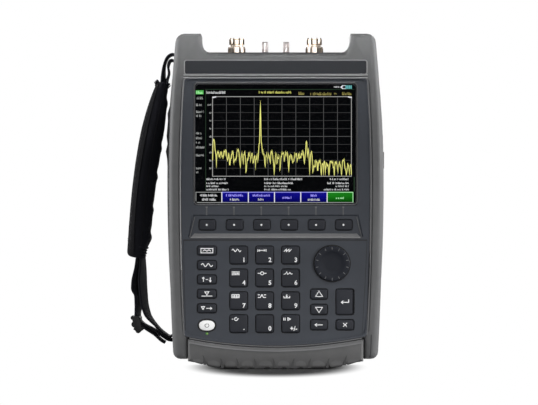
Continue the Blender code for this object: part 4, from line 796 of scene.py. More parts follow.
def rimTrim(groove, grooveBend, grooveFoot, stripHalf, stripCut, seamHalf, rimLow, **others):
    rim, plain, corners, strip, cut = newShapes(5)
    loop = panelLoop(case["rail"] - 0.0010, case["sill"] - 0.0012, case["panelTop"] + 0.0004, 0.0030)
    count = len(loop) // 2
    # the rim is a painted highlight, lighter above rimLow and less light on the lower sides, as light falls
    # from above
    bright = [i for i in range(count - 1, len(loop) - 14) if loop[i][1] > rimLow]
    for bm, points in ((rim, [loop[i] for i in bright]), (plain, loop[14:count]),
                       (plain, loop[bright[-1]:-14])):
        beadLoop(bm, points, 0.0009, rimFront + 0.0006, 0.0008)
    addPiece("panel_rim", rim, "edgeGrey", "grey_plastic", 60)
    addPiece("panel_rim_sides", plain, "ledgeGrey", "grey_plastic", 60)
    ribbon(corners, panelLoop(case["rail"] - 0.0002, case["sill"], case["panelTop"] + 0.0001, 0.0022)[30:58],
           panelLoop(case["rail"] + 0.0003, case["sill"], case["panelTop"] - 0.0003, 0.0064)[30:58],
           rimFront - 0.0001, 0.0004)
    addPiece("panel_corners", corners, "panelSatin", "panel_plastic")

    low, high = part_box("name_strip")
    # a painted highlight round the name strip and along it
    line = placed(roundedLoop(high.x - low.x + 0.0010, high.z - low.z + 0.0010, 0.0018, 5), 0, case["stripZ"])
    beadLoop(strip, line, 0.0008, rimFront + 0.0001, closed=True)
    for z, wide in stripBeads:
        beadLoop(strip, [(x, z) for x in evenSteps(-stripHalf, stripHalf, 20)], wide, rimFront + 0.0001)
    addPiece("strip_beads", strip, "edgeGrey", "grey_plastic", 60)
    # painted shade: dark lines for the cut under the name strip and the seam under the top rail
    stroke(cut, [(-stripHalf, stripCut), (stripHalf, stripCut)], 0.0006, rimFront - 0.00005, 0.0004)
    seam = case["railTop"] - 0.0006
    stroke(cut, [(-seamHalf, seam), (seamHalf, seam)], 0.0008, rimFront + 0.0001, 0.0004)
    # a fine groove round the keypad, drawn as a dark line of painted shade
    stroke(cut, [(side * top, groove) for side, top, foot in grooveSides], 0.0011, panelFront - 0.00004)
    for side, top, foot in grooveSides:
        line = [(side * top, groove), (side * (top * 0.6 + foot * 0.4), grooveBend),
                (side * foot, grooveFoot)]
        stroke(cut, line, 0.00045, panelFront - 0.00004)
    addPiece("panel_grooves", cut, "grooveDark", "black_plastic")


softkeyTrim(**trim)
screenTrim(**trim)
rimTrim(**trim)
print("panel trim made")

# the sill under the panel and the ribbed skin of the bumper, with painted shade in the grooves and notches and
# painted light on the bead and ledge
sill = dict(faceLow=0.0023, beadAt=0.0013, ledge=0.0032, proud=0.0004, ribHigh=0.0115, ribProud=0.0004,
            lugWide=0.0075, notchDeep=0.0012, notchWide=0.0030, notchRise=0.0030, notchTall=0.0085,
            footFlat=0.0500, footRise=0.0068, footCurve=1.3, columns=300, rows=14,
            legSeam=((0.0836, 0.0300), (0.0832, 0.0190), (0.0827, 0.0100)))
# middles of the notches in the bumper, in millimetres
notches = (-61.7, -46.4, -32.4, -17.1, -0.8, 14.5, 29.0, 45.0, 60.2)


def footLine(x):
    past = max(0.0, abs(x) - sill["footFlat"]) / (case["bumperHalf"] - sill["footFlat"])
    return sill["footRise"] * past ** sill["footCurve"]


def makeSill(faceLow, beadAt, ledge, proud, legSeam, **others):
    face, dark, bead, lip = newShapes(4)
    half = case["bumperHalf"] - 0.0012
    span = [t * half for t in evenSteps(-1, 1, 60)]
    low = 11 + 7 + 1   # points of a panel loop from its middle to the end of its lower corner

    def lowerEdge(side, lift, corner):
        loop = panelLoop(side, lift, case["panelTop"], corner)
        return loop[-low:] + [(0, bumperLine(0) + lift)] + loop[:low]

    ribbon(face, lowerEdge(case["rail"] - 0.0001, faceLow, 0.0022),
           lowerEdge(case["rail"] + 0.0003, case["sill"] + 0.0002, 0.0062), rimFront - 0.00012, 0.0004)
    addPiece("sill_face", face, "panelSatin", "panel_plastic")
    # dark lines of painted shade in the gaps above the bumper and at the legs
    ribbon(dark, [(x, bumperLine(x) - 0.0003) for x in span],
           [(x, bumperLine(x) + faceLow + 0.0002) for x in span], rimFront - 0.00004, 0.0006)
    stroke(dark, legSeam, 0.0008, rimFront - 0.00005, 0.0006)
    addPiece("sill_grooves", dark, "grooveDark", "black_plastic")
    # a painted highlight along the sill
    beadLoop(bead, [(x, bumperLine(x) + beadAt) for x in span], 0.0008, rimFront - 0.0001)
    addPiece("sill_bead", bead, "ledgeGrey", "grey_plastic", 60)
    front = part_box("bottom_bumper")[0].y
    # the ledge is lighter than the bumper, painted light on its upward face
    profile = ((0.0002, -ledge - 0.0003), (-proud, -ledge), (-proud * 0.6, -ledge + 0.0006),
               (0.0019, -0.0002), (0.0034, 0), (0.0040, -0.0012))
    loftRings(lip, [[(x, front + y, bumperLine(x) + z) for y, z in profile] for x in span])
    addPiece("bumper_ledge", lip, "ledgeGrey", "bumper_rubber", 30)


def makeTread(ribHigh, ribProud, lugWide, notchDeep, notchWide, notchRise, notchTall, columns, rows,
              **others):
    # shallow lugs with a notch between each two, fading out above the middle
    tread, notchShades = newShapes(2)
    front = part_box("bottom_bumper")[0].y
    half = case["bumperHalf"] - 0.0045
    rings = []
    for x in evenSteps(-half, half, columns):
        near = min(abs(x - n * mm) for n in notches)
        cut = max(0.0, 1 - near / notchWide) ** 1.4
        lug = min(1.0, near / lugWide)
        edge = min(1.0, (half - abs(x)) / 0.004)
        foot = footLine(x) + 0.0010 + notchRise * cut * 0.8
        column = []
        for j in range(rows + 1):
            t = j / rows
            fade = (1 - t) ** 1.3
            y = front + 0.00012 - edge * (ribProud * (lug ** 0.5) * fade) + notchDeep * cut * fade
            y += {0: 0.0022, 1: 0.0006}.get(j, 0)
            column.append(Vector((x, y, foot + (ribHigh - foot) * t ** 0.9)))
        rings.append(column + [p + Vector((0, 0.0030, 0)) for p in reversed(column)])
    loftRings(tread, rings)
    addPiece("bumper_tread", tread, "bumperGrey", "bumper_rubber", 50)
    # a dark plate of painted shade in each notch, narrowing upward
    for n in notches:
        foot = footLine((abs(n) + 1.4) * mm) + 0.0012
        left, right = [], []
        for t in evenSteps(0, 1, 6):
            wide = notchWide * 0.42 * (1 - t) ** 0.7 + 0.0001
            x = (n + (1.8 if n > 0 else -1.8) * t * t) * mm
            left.append((x - wide, foot + notchTall * t))
            right.append((x + wide, foot + notchTall * t))
        ribbon(notchShades, left, right, front - 0.0003, 0.0009)
    addPiece("bumper_notches", notchShades, "notchGrey", "bumper_rubber")


makeSill(**sill)
makeTread(**sill)
print("sill and bumper tread made")

# the picture on the screen, in millimetres from the window's lower left corner
window = dict(left=-0.0702, low=0.14483, width=0.1404, height=0.1040, face=-0.03060, lift=0.00007,
              thick=0.00005)
graph = dict(left=15.0, right=136.5, low=23.7, high=93.3, columns=10, rows=10)
cellEdges = (0.5, 23.1, 46.3, 69.2, 92.2, 115.3, 137.9)
# main turns of the trace: share of the width, share of the height
traceTurns = (
    (0.000, 0.20), (0.007, 0.465), (0.018, 0.33), (0.028, 0.10), (0.037, 0.31), (0.050, 0.25), (0.064, 0.295),
    (0.078, 0.246), (0.086, 0.31), (0.107, 0.19), (0.115, 0.29), (0.122, 0.145), (0.148, 0.30), (0.152, 0.17),
    (0.170, 0.22), (0.181, 0.31), (0.201, 0.10), (0.209, 0.29), (0.222, 0.145), (0.230, 0.295),
    (0.239, 0.042), (0.255, 0.21), (0.269, 0.305), (0.273, 0.17), (0.287, 0.29), (0.291, 0.165),
    (0.302, 0.25), (0.309, 0.08), (0.322, 0.285), (0.325, 0.17), (0.331, 0.295), (0.3385, 0.42),
    (0.3405, 0.60), (0.3425, 0.78), (0.3445, 0.955), (0.3465, 0.78), (0.3485, 0.60), (0.3505, 0.42),
    (0.357, 0.33), (0.380, 0.11), (0.390, 0.305), (0.394, 0.155), (0.403, 0.28), (0.417, 0.155),
    (0.425, 0.305), (0.444, 0.0), (0.459, 0.283), (0.462, 0.155), (0.479, 0.255), (0.4835, 0.063),
    (0.507, 0.30), (0.516, 0.185), (0.532, 0.30), (0.549, 0.05), (0.558, 0.25), (0.577, 0.165),
    (0.603, 0.283), (0.608, 0.17), (0.623, 0.275), (0.636, 0.23), (0.653, 0.30), (0.662, 0.15), (0.671, 0.30),
    (0.6765, 0.443), (0.682, 0.23), (0.6875, 0.353), (0.699, 0.0), (0.710, 0.30), (0.721, 0.035),
    (0.747, 0.18), (0.756, 0.073), (0.771, 0.19), (0.784, 0.0), (0.793, 0.15), (0.799, 0.0), (0.806, 0.19),
    (0.812, 0.0), (0.823, 0.15), (0.838, 0.0), (0.856, 0.19), (0.878, 0.0), (0.887, 0.178), (0.904, 0.037),
    (0.913, 0.173), (0.931, 0.0), (0.939, 0.205), (0.963, 0.0), (0.976, 0.14), (0.987, 0.0), (0.995, 0.15),
    (1.000, 0.02))


def onScreen(points):
    return [(window["left"] + x * mm, window["low"] + z * mm) for x, z in points]


def onGraph(points):
    wide, tall = graph["right"] - graph["left"], graph["high"] - graph["low"]
    return [(graph["left"] + wide * u, graph["low"] + tall * v) for u, v in points]


def screenLayer(name, finish, level, bars=(), lines=(), width=0.45):
    bm = bmesh.new()
    front, thick = window["face"] - level * window["lift"], window["thick"]
    for x0, z0, x1, z1 in bars:
        outlinePlate(bm, onScreen([(x0, z0), (x1, z0), (x1, z1), (x0, z1)]), front, thick)
    for points in lines:
        stroke(bm, onScreen(points), width * mm, front, thick)
    addPiece("screen_" + name, bm, finish, "lens_glass")


def wordBars(seed, rows):
    # rows of short upright bars where the instrument writes its settings: (x, middle z, length, height)
    pick = random.Random(seed)
    bars = []
    for x, z, length, height in rows:
        at = x
        while at < x + length - 0.3:
            step = min(pick.uniform(0.8, 1.3), x + length - at)
            tall = height * pick.choice((1.0, 1.0, 0.7, 0.7, 0.85))
            low = z - height / 2 + (height - tall) * pick.choice((0, 0, 0.5))
            bars.append((at, low, at + step * 0.58, low + tall))
            if pick.random() < 0.5:
                bars.append((at + step * 0.6, low, at + step, low + tall * 0.45))
            at += step
            if pick.random() < 0.14:
                at += 0.8
    return bars


def traceLine(seed):
    pick = random.Random(seed)
    points = []
    for (u0, v0), (u1, v1) in zip(traceTurns, traceTurns[1:]):
        steps = max(1, round((u1 - u0) / 0.0032))
        for k in range(steps):
            t = k / steps
            hold = t ** 3 if v1 < v0 else 1 - (1 - t) ** 3
            v = v0 + (v1 - v0) * hold + (pick.uniform(-0.060, 0.035) if k and v1 < 0.36 > v0 else 0)
            points.append((u0 + (u1 - u0) * t, min(0.96, max(0.006, v))))
    return onGraph(points + [traceTurns[-1]])


def makeScreen():
    left, right, low, top, across, down = graph.values()
    base = bmesh.new()
    loop = roundedLoop(window["width"] - 0.0004, window["height"] - 0.0004, 0.0026)
    outlinePlate(base, placed(loop, 0, window["low"] + window["height"] / 2), window["face"], 0.0007)
    addPiece("screen_face", base, "screenBlack", "lens_glass")

    columns, rows = evenSteps(left, right, across)[1:across], evenSteps(low, top, down)[1:down]
    middle = rows.pop(len(rows) // 2)
    screenLayer("rows", "gridDim", 1, [(left, z - 0.20, right, z + 0.20) for z in rows])
    screenLayer("columns", "gridGrey", 1, [(x - 0.23, low, x + 0.23, top) for x in columns]
                + [(left, middle - 0.26, right, middle + 0.26)])
    screenLayer("frame", "frameWhite", 2, [
        (left - 0.3, low - 0.28, right + 0.3, low + 0.22), (left - 0.3, top - 0.22, right + 0.3, top + 0.28),
        (left - 0.28, low, left + 0.22, top), (right - 0.22, low, right + 0.28, top)])
    screenLayer("corners", "edgeWhite", 3, (), [
        [(left - 0.2, top - 0.9), (left + 1.4, top - 0.5), (left + 3.2, top - 0.1)],
        [(right - 3.0, top - 0.1), (right - 1.2, top - 0.5), (right + 0.4, top - 0.9)]], 1.0)

    cells = list(zip(cellEdges, cellEdges[1:]))
    screenLayer("cells", "cellBlue", 1, [(x0, 0.7, x1, 9.7) for x0, x1 in cells[1:5]])
    screenLayer("last_cell", "cellGreen", 1, [(cells[5][0], 0.7, cells[5][1], 9.7)])
    screenLayer("cell_bars", "edgeWhite", 3, [(x - 0.38, 0.7, x + 0.38, 9.9) for x in cellEdges[1:6]])
    screenLayer("cell_tops", "edgeBlue", 2, [(x0, 9.3, x1, 10.0) for x0, x1 in cells[1:5]])
    screenLayer("cell_rims", "textGrey", 2, [(0.3, 0.4, 137.9, 0.95), (0.3, 9.4, cellEdges[1], 9.95),
                                             (0.2, 0.5, 0.7, 9.9)])
    screenLayer("last_rim", "textGreen", 2, [(cells[5][0], 9.3, 138.1, 9.95), (137.6, 0.6, 138.2, 9.9)])

    below = [(9.6, 21.2, 17.3, 1.7), (9.6, 17.7, 19.4, 1.7), (9.6, 15.0, 10.9, 1.5), (9.6, 12.1, 20.6, 1.5),
             (60.3, 21.2, 33.3, 1.8), (60.3, 17.7, 25.1, 1.7), (60.3, 15.0, 20.4, 1.5),
             (60.3, 12.1, 23.3, 1.5), (117.7, 21.2, 16.7, 1.8), (115.4, 17.7, 19.0, 1.7),
             (122.7, 15.0, 11.7, 1.5), (112.4, 12.1, 22.0, 1.5)]
    axis = [(12.2, low + (top - low) * k / 10, 2.1, 1.7) for k in range(1, 10)]
    axis.append((10.6, low + (top - low) * 0.9, 1.4, 1.7))
    sides = [(1.1, 92.1, 5.4, 2.2), (0.4, 86.2, 5.3, 2.2), (0.6, 80.2, 6.9, 2.2), (0.6, 76.5, 4.8, 2.0),
             (0.4, 61.3, 4.8, 2.0), (0.4, 57.2, 5.3, 2.2), (0.4, 53.2, 3.7, 2.0), (0.4, 49.1, 8.0, 2.2),
             (0.4, 42.1, 6.9, 2.0), (0.6, 30.7, 5.1, 2.0), (0.6, 27.2, 2.2, 1.8)]
    words = (   # name, finish, level, seed, places
        ("settings", "textWhite", 2, 3, below + [(9.6, 97.1, 17.2, 2.3), (121.2, 101.9, 4.8, 1.3)]),
        ("scale", "textGrey", 2, 4, axis + sides),
        ("cell_words", "textWhite", 3, 5,
         [(4.1, 7.0, 15.0, 2.0), (5.8, 3.4, 12.3, 2.1), (30.2, 3.4, 8.0, 2.2),
          (54.8, 3.4, 5.5, 2.0), (98.4, 3.2, 10.6, 1.9)]),
        ("cell_titles", "textBlue", 3, 6,
         [(26.8, 7.0, 15.0, 2.1), (50.1, 7.0, 15.2, 2.1), (76.1, 5.0, 8.5, 2.0),
          (100.8, 6.9, 5.6, 2.0)]),
        ("last_title", "textGreen", 3, 8, [(123.0, 4.7, 7.2, 1.9)]),
        ("title", "textYellow", 2, 7, [(55.5, 97.2, 28.3, 2.1)]),
        ("marker", "textOlive", 2, 13, [(90.2, 96.2, 5.4, 2.6), (100.6, 96.0, 1.0, 3.0),
                                        (102.8, 95.8, 16.4, 2.6), (121.4, 96.0, 3.4, 1.6),
                                        (128.4, 96.0, 9.0, 2.6)]))
    for name, finish, level, seed, places in words:
        screenLayer(name, finish, level, wordBars(seed, places))
    screenLayer("spike", "traceDim", 2, (), [onGraph(((0.3445, 0.50), (0.3445, 0.74)))], 1.5)
    screenLayer("trace_glow", "traceDim", 3, (), [traceLine(17)], 0.60)
    screenLayer("trace", "traceYellow", 4, (), [traceLine(11)], 0.56)
    screenLayer("lines", "lineGreen", 1, [(8.7, 99.4, 139.4, 99.9), (8.7, 10.4, 9.15, 99.6),
                                          (138.6, 10.2, 139.4, 23.0)])
    screenLayer("badge", "badgeGreen", 2, [(0.3, 95.4, 7.1, 98.9)])
    screenLayer("badge_word", "textGreen", 3, wordBars(15, [(0.9, 97.1, 5.4, 2.4)]))
    screenLayer("battery", "batteryCyan", 2,
                [(131.4 + 1.45 * k, 100.2, 132.5 + 1.45 * k, 103.2) for k in range(4)])
    screenLayer("battery_rim", "edgeWhite", 2, [(128.6, 102.8, 131.4, 103.3), (128.6, 100.1, 131.4, 100.6)],
                [[(129.0, 103.0), (127.5, 101.7), (129.0, 100.4)]], 1.0)


makeScreen()
print("screen drawn")

# tuning knob: a fluted rim, a dished face and light ticks, which are painted highlights on the face
knob = dict(flutes=28, fluteDepth=0.00035, edge=0.0011, dish=0.0007, ticks=14, glintFrom=0.0124, glintTo=0.0146,
            wellInner=0.0046)


def makeKnob(flutes, fluteDepth, edge, dish, ticks, glintFrom, glintTo, wellInner):
    low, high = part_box("tuning_knob")
    middle = middleOf("tuning_knob")
    x, z, front, back = middle.x, middle.z, low.y, high.y
    radius = (high.z - low.z) / 2 - 0.0005
    grip, marks, well = newShapes(3)

    def ring(reach, y, wavy):
        points = []
        for a in circle(flutes * 6):
            r = reach - wavy * fluteDepth * (0.5 + 0.5 * math.cos(a * flutes))
            points.append((x + r * math.cos(a), y, z + r * math.sin(a)))
        return points

    rings = [ring(radius - 0.0008, back, 0), ring(radius - 0.0002, back - 0.0006, 0.5),
             ring(radius, back - 0.0016, 1)]
    for k, a in enumerate(evenSteps(0, math.pi / 2, 5)):
        rings.append(ring(radius - edge * (1 - math.cos(a)), front + edge * (1 - math.sin(a)), 1 - k / 5))
    for reach, sink in ((radius - 0.0044, 0), (radius - 0.0050, 0.0002), (radius - 0.0062, dish),
                        (0.006, dish * 1.15), (0.0015, dish * 1.2)):
        rings.append(ring(reach, front + sink, 0))
    loftRings(grip, rings)
    addPiece("tuning_knob_grip", grip, "knobRubber", "key_rubber", 50, "tuning_knob", ["tuning_knob"])
    # the light ticks are painted highlights, in the lit grey
    for a in circle(ticks, 0.5):
        c, s = math.cos(a), math.sin(a)
        stroke(marks, [(x + c * r, z + s * r) for r in (glintFrom, glintTo)], 0.00055, front - 0.00005, 0.0002)
    addPiece("tuning_knob_glints", marks, "ledgeGrey", "white_key", 0, "tuning_knob")
    # a near-black ring of painted shade in the gap round the knob
    ringPlate(well, discPoints(x, z, radius + 0.0010, 72), discPoints(x, z, wellInner, 72),
              panelFront - 0.00006)
    addPiece("knob_gap_shade", well, "keyWell", "black_plastic")


makeKnob(**knob)
print("knob made")

# the back and the right side: battery cover, side door, sockets behind it, bail grips, screw heads; the holes
# in the sockets and screw heads are painted shade
rear = dict(ribs=7, ribPitch=0.0042, ribWide=0.0017, ribHalf=0.0170, ribProud=0.0005, gripX=0.0640,
            arrowX=0.0360, plateZ=0.0335, plateWide=0.0900, plateTall=0.0190, labelSeat=0.00018,
            hexAcross=0.0042, bayFloor=0.0828, bailGripX=0.0330, bailGripUp=0.0055)
# form, y, z, width, height
sockets = (("round", 0.0120, 0.1700, 0.0080, 0.0080), ("flat", 0.0120, 0.1830, 0.0075, 0.0130),
           ("flat", 0.0120, 0.1960, 0.0050, 0.0078))


def turnedTo(bm, angle, place):
    # a shape drawn facing -Y about the origin, turned about Z and put in its place
    bm.transform(Matrix.Translation(place) @ Matrix.Rotation(math.radians(angle), 4, "Z"))
    return bm


def softBar(bm, x, z, width, height, front, proud):
    # a low bar with rounded ends and a soft top, seen from -Y
    loop = roundedLoop(width, height, min(width, height) * 0.46, 4)
    rings = []
    for out, shrink in ((-0.0003, 0.0), (proud * 0.6, 0.0), (proud, 0.00025)):
        rings.append([(x + u * (1 - 2 * shrink / width), front - out, z + v * (1 - 2 * shrink / height))
                      for u, v in loop])
    loftRings(bm, rings)


def makeBatteryCover(ribs, ribPitch, ribWide, ribHalf, ribProud, gripX, arrowX, plateZ, plateWide, plateTall,
                     labelSeat, **others):
    grip, arrow, plate = newShapes(3)
    seat = (0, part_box("battery_door")[1].y, middleOf("battery_door").z)
    for k in range(ribs):
        softBar(grip, -(gripX + (k - (ribs - 1) / 2) * ribPitch), 0, ribWide, 2 * ribHalf, 0, ribProud)
    addPiece("battery_cover_grip", turnedTo(grip, 180, seat), "housingGrey", "grey_plastic", 50,
             "battery_door")
    points = [(-0.0075, 0), (0.0005, 0.0060), (0.0005, 0.0022), (0.0080, 0.0022), (0.0080, -0.0022),
              (0.0005, -0.0022), (0.0005, -0.0060)]
    outlinePlate(arrow, placed(points, -arrowX, 0), -0.0002, 0.0004)
    addPiece("battery_cover_arrow", turnedTo(arrow, 180, seat), "edgeGrey", "grey_plastic", 0, "battery_door")
    outlinePlate(plate, roundedLoop(plateWide, plateTall, 0.0020, 5), -labelSeat, 0.0004)
    addPiece("rear_blank_plate", turnedTo(plate, 180, (0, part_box("rear_shell")[1].y, plateZ)), "stripSatin",
             "grey_plastic")


def makeSideDoor(bayFloor, **others):
    low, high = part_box("port_door")
    middle = middleOf("port_door")
    tab, line, shells, holeShades = newShapes(4)
    softBar(tab, 0, 0, 0.0032, 0.0150, 0, 0.0011)
    for k in (-1, 0, 1):
        softBar(tab, 0.0052, k * 0.0046, 0.0022, 0.0024, 0, 0.0005)
    turnedTo(tab, 90, (high.x, low.y + 0.0026, middle.z))
    addPiece("port_door_tab", tab, "bumperGrey", "bumper_rubber", 50, "port_door")
    # a dark line of painted shade in the gap round the door
    ringPlate(line, *(roundedLoop(high.y - low.y - less, high.z - low.z - less, corner, 5)
                      for less, corner in ((0.0030, 0.0030), (0.0042, 0.0026))), -0.00015, 0.0004)
    turnedTo(line, 90, (high.x, middle.y, middle.z))
    addPiece("port_door_line", line, "grooveDark", "bumper_rubber", 0, "port_door")
    for form, y, z, wide, tall in sockets:
        corner = wide * 0.5 if form == "round" else 0.0012
        outer = placed(roundedLoop(wide, tall, corner), y, z)
        inner = placed(roundedLoop(wide - 0.0012, tall - 0.0012, max(0.0005, corner - 0.0006)), y, z)
        ringPlate(shells, outer, inner, -0.0012, 0.0016)
        # each socket's hole is a near-black plate of painted shade
        outlinePlate(holeShades, inner, -0.0002, 0.0004)
        if form == "round":
            outlinePlate(shells, discPoints(y, z, 0.0009, 12), -0.0010, 0.0012)
        else:
            tongue = roundedLoop(wide * 0.30, tall - 0.0036, 0.0003, 2)
            outlinePlate(shells, placed(tongue, y, z), -0.0009, 0.0010)
    addPiece("side_sockets", turnedTo(shells, 90, (bayFloor, 0, 0)), "portNickel", "port_metal")
    addPiece("side_socket_hole_shades", turnedTo(holeShades, 90, (bayFloor, 0, 0)), "keyWell", "black_plastic")


def makeBackFittings(hexAcross, bailGripX, bailGripUp, **others):
    low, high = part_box("tilt_bail")
    grips, hexShades = newShapes(2)
    for side in (-1, 1):
        softBar(grips, side * bailGripX, 0, 0.0230, 0.0062, 0, 0.0004)
        for k in range(5):
            softBar(grips, side * bailGripX + (k - 2) * 0.0040, 0, 0.0013, 0.0050, -0.0004, 0.0003)
    turnedTo(grips, 180, (0, high.y, low.z + bailGripUp))
    addPiece("tilt_bail_grips", grips, "bumperGrey", "bumper_rubber", 50, "tilt_bail")
    # the hex socket in each screw head is a near-black plate of painted shade
    for k in range(1, 5):
        head = middleOf("case_screw_%d" % k)
        outlinePlate(hexShades, discPoints(-head.x, head.z, hexAcross / 2, 6),
                     -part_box("case_screw_%d" % k)[1].y - 0.00012, 0.0003)
    addPiece("case_screw_sockets", turnedTo(hexShades, 180, (0, 0, 0)), "keyWell", "black_plastic")


makeBatteryCover(**rear)
makeSideDoor(**rear)
makeBackFittings(**rear)
print("back and side fittings made")

# coaxial ports: a ribbed foot, a ribbed barrel between two thin bands, an open bore with its contact
portForms = {
    "port_": dict(foot=0.0074, footTop=0.0078, barrel=0.0062, bore=0.0052, contact=0.0015, ribs=8,
                  ribWide=0.0012, ribProud=0.0009, threads=0, finish="portTan"),
    "small_port_": dict(foot=0.0035, footTop=0.0030, barrel=0.0030, bore=0.0022, contact=0.0007, ribs=0,
                        ribWide=0, ribProud=0, threads=5, finish="portRose"),
}
boreFloor = 0.0030   # above the port plate


def portProfile(foot, footTop, barrel, bore, ribs, threads, tall, start):
    profile = start + [(foot - 0.0003, 0.0), (foot, 0.0003)]
    if not ribs:   # a plain hexagon-like foot with a washer under it
        profile += [(foot, 0.0009), (foot - 0.0004, 0.0010), (foot - 0.0004, footTop - 0.0003),
                    (foot - 0.0008, footTop)]
    else:
        profile += [(foot, footTop - 0.0012), (foot - 0.0005, footTop - 0.0006), (barrel - 0.0004, footTop),
                    (barrel - 0.0004, footTop + 0.0009)]
    base = profile[-1][1]
    if threads:
        pitch = (tall - base - 0.0014) / threads
        profile.append((barrel - 0.0004, base + 0.0004))
        for k in range(threads):
            at = base + 0.0005 + pitch * k
            profile += [(barrel - 0.0003, at), (barrel, at + pitch * 0.32), (barrel, at + pitch * 0.55),
                        (barrel - 0.0003, at + pitch * 0.9)]
        profile += [(barrel - 0.0002, tall - 0.0006), (barrel - 0.0005, tall)]
    else:
        profile += [(barrel, base + 0.0004), (barrel, tall - 0.0016), (barrel - 0.0004, tall - 0.0010)]
    rim = profile[-1][1]
    return profile + [(bore + 0.0003, rim), (bore, rim - 0.0004), (bore, boreFloor), (0.0004, boreFloor)]


def makePort(name, foot, footTop, barrel, bore, contact, ribs, ribWide, ribProud, threads, finish):
    low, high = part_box(name)
    middle = middleOf(name)
    x, y = middle.x, middle.y
    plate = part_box("top_plate")
    bottom = plate[1].z
    tall = high.z - bottom
    tail = foot * 0.55
    start = [(tail, low.z - bottom), (tail, plate[0].z - bottom - 0.0003), (tail, 0.0)]
    body, sleeveShape, pin, bars, bands = newShapes(5)
    turnedForm(body, portProfile(foot, footTop, barrel, bore, ribs, threads, tall, start), x, y, bottom, 64)
    addPiece(name + "_body", body, finish, "port_metal", 32, nodeNames=[name])
    turnedForm(sleeveShape, [(bore - 0.0002, boreFloor), (bore - 0.0002, tall * 0.55),
                             (bore * 0.80, tall * 0.56), (bore * 0.42, tall * 0.56),
                             (bore * 0.40, tall * 0.545), (0.0003, tall * 0.545)],
               x, y, bottom, 40)
    addPiece(name + "_insulator", sleeveShape, "insulator", "white_key", 32)
    turnedForm(pin, [(contact, tall * 0.545), (contact, tall * 0.80), (contact * 0.86, tall * 0.82),
                     (contact * 0.55, tall * 0.82), (contact * 0.5, tall * 0.72), (0.0001, tall * 0.72)],
               x, y, bottom, 24)
    addPiece(name + "_contact", pin, "contactGold", "port_metal", 32)
    if not ribs:
        return
    for a in circle(ribs, 0.5):
        turn = Matrix.Translation((x, y, bottom)) @ Matrix.Rotation(a, 4, "Z")
        for reach, z0, z1 in ((foot, 0.0, footTop - 0.0006), (barrel, footTop + 0.0016, tall - 0.0006)):
            rings = []
            for z, slim in ((z0, 0.85), (z0 + 0.0006, 1.0), (z1 - 0.0016, 1.0), (z1 - 0.0011, 0.62),
                            (z1, 0.5)):
                half, out = ribWide / 2 * slim, reach + ribProud * slim
                section = [(reach - 0.0007, -half), (out - 0.0002, -half), (out, -half * 0.6),
                           (out, half * 0.6), (out - 0.0002, half), (reach - 0.0007, half)]
                rings.append([turn @ Vector((u, v, z)) for u, v in section])
            loftRings(bars, rings)
    addPiece(name + "_ribs", bars, "portDark", "port_metal", 35)
    for z, high in ((footTop + 0.0013, 0.0006), (tall - 0.0024, 0.0005)):
        inside, outside = barrel - 0.0003, barrel + 0.0006
        section = [(inside, z), (outside, z), (outside, z + high), (inside, z + high)]
        loftRings(bands, [[(x + r * math.cos(a), y + r * math.sin(a), bottom + h) for r, h in section]
                          for a in circle(64)], True)
    addPiece(name + "_bands", bands, "bandBrass", "port_metal", 35)


for start, form in portForms.items():
    for k in (1, 2):
        makePort(start + str(k), **form)
print("ports made:", 2 * len(portForms))

# screws that hold the port plate down
plateScrew = dict(radius=0.0021, tall=0.0013, slot=0.0005,
                  spots=((-0.0475, 0.0045), (0.0475, 0.0045), (-0.0475, 0.0255), (0.0475, 0.0255),
                         (-0.0215, 0.0265), (0.0215, 0.0265)))


def makePlateScrews(radius, tall, slot, spots):
    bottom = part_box("top_plate")[1].z
    heads = bmesh.new()
    profile = [(1, 0), (1, 0.55), (0.86, 0.88), (0.5, 1), (0.42, 0.98), (0.36, 0.45), (0.0001 / radius, 0.40)]
    for i, (x, y) in enumerate(spots):
        turnedForm(heads, [(r * radius, h * tall) for r, h in profile], x, y, bottom, 24)
        for turn in (0, 90):   # the cross in the head
            a = math.radians(turn + 17 * i)
            across, long = Vector((-math.sin(a), math.cos(a), 0)), Vector((math.cos(a), math.sin(a), 0))
            middle = Vector((x, y, bottom + tall * 0.5))
            ring = [middle + long * s * radius * 0.34 + across * w * slot / 2
                    for s, w in ((-1, -1), (1, -1), (1, 1), (-1, 1))]
            loftRings(heads, [ring, [p + Vector((0, 0, tall * 0.22)) for p in ring]])
    addPiece("plate_screws", heads, "screwSteel", "plain_steel", 35)


makePlateScrews(**plateScrew)

# hand strap: webbing round two pins in the case, a stuffed sleeve between them, a slider on the lower run
strap = dict(width=0.024, thick=0.0020, middle=0.012, turn=3.4, upperPin=(-0.08624, 0.27203),
             lowerPin=(-0.08739, 0.0266), upperTwist=5)
# webbing routes, in millimetres from the pins
upperOut = [(-14.2, -21.5), (-13.8, -17.2), (-13.3, -8.8), (-12.2, -2.6), (-9.6, 2.8), (-5.4, 5.2)]
upperBack = [(-5.0, -0.2), (-7.8, -0.9), (-9.3, -5.6), (-8.6, -11.8), (-10.1, -17.2), (-10.9, -21.5)]
lowerOut = [(-31.0, 73.5), (-31.2, 61.8), (-31.4, 50.9), (-30.8, 42.5), (-30.3, 37.3), (-29.0, 28.2),
            (-26.4, 19.7), (-23.6, 15.2), (-19.8, 10.6), (-15.6, 5.6), (-10.6, 1.4), (-6.3, -0.6)]
lowerBack = [(-5.0, -3.4), (-8.6, -2.6), (-14.8, 1.2), (-21.8, 6.1), (-28.5, 9.8), (-33.0, 13.6),
             (-35.0, 18.0), (-34.8, 23.4), (-34.4, 28.2), (-34.5, 37.3), (-35.4, 42.5), (-35.3, 50.9),
             (-35.2, 61.8), (-35.0, 73.5)]
looseTail = [(-32.0, 10.0), (-27.4, 6.4), (-20.3, 1.8), (-14.3, -3.6), (-10.6, -5.6)]
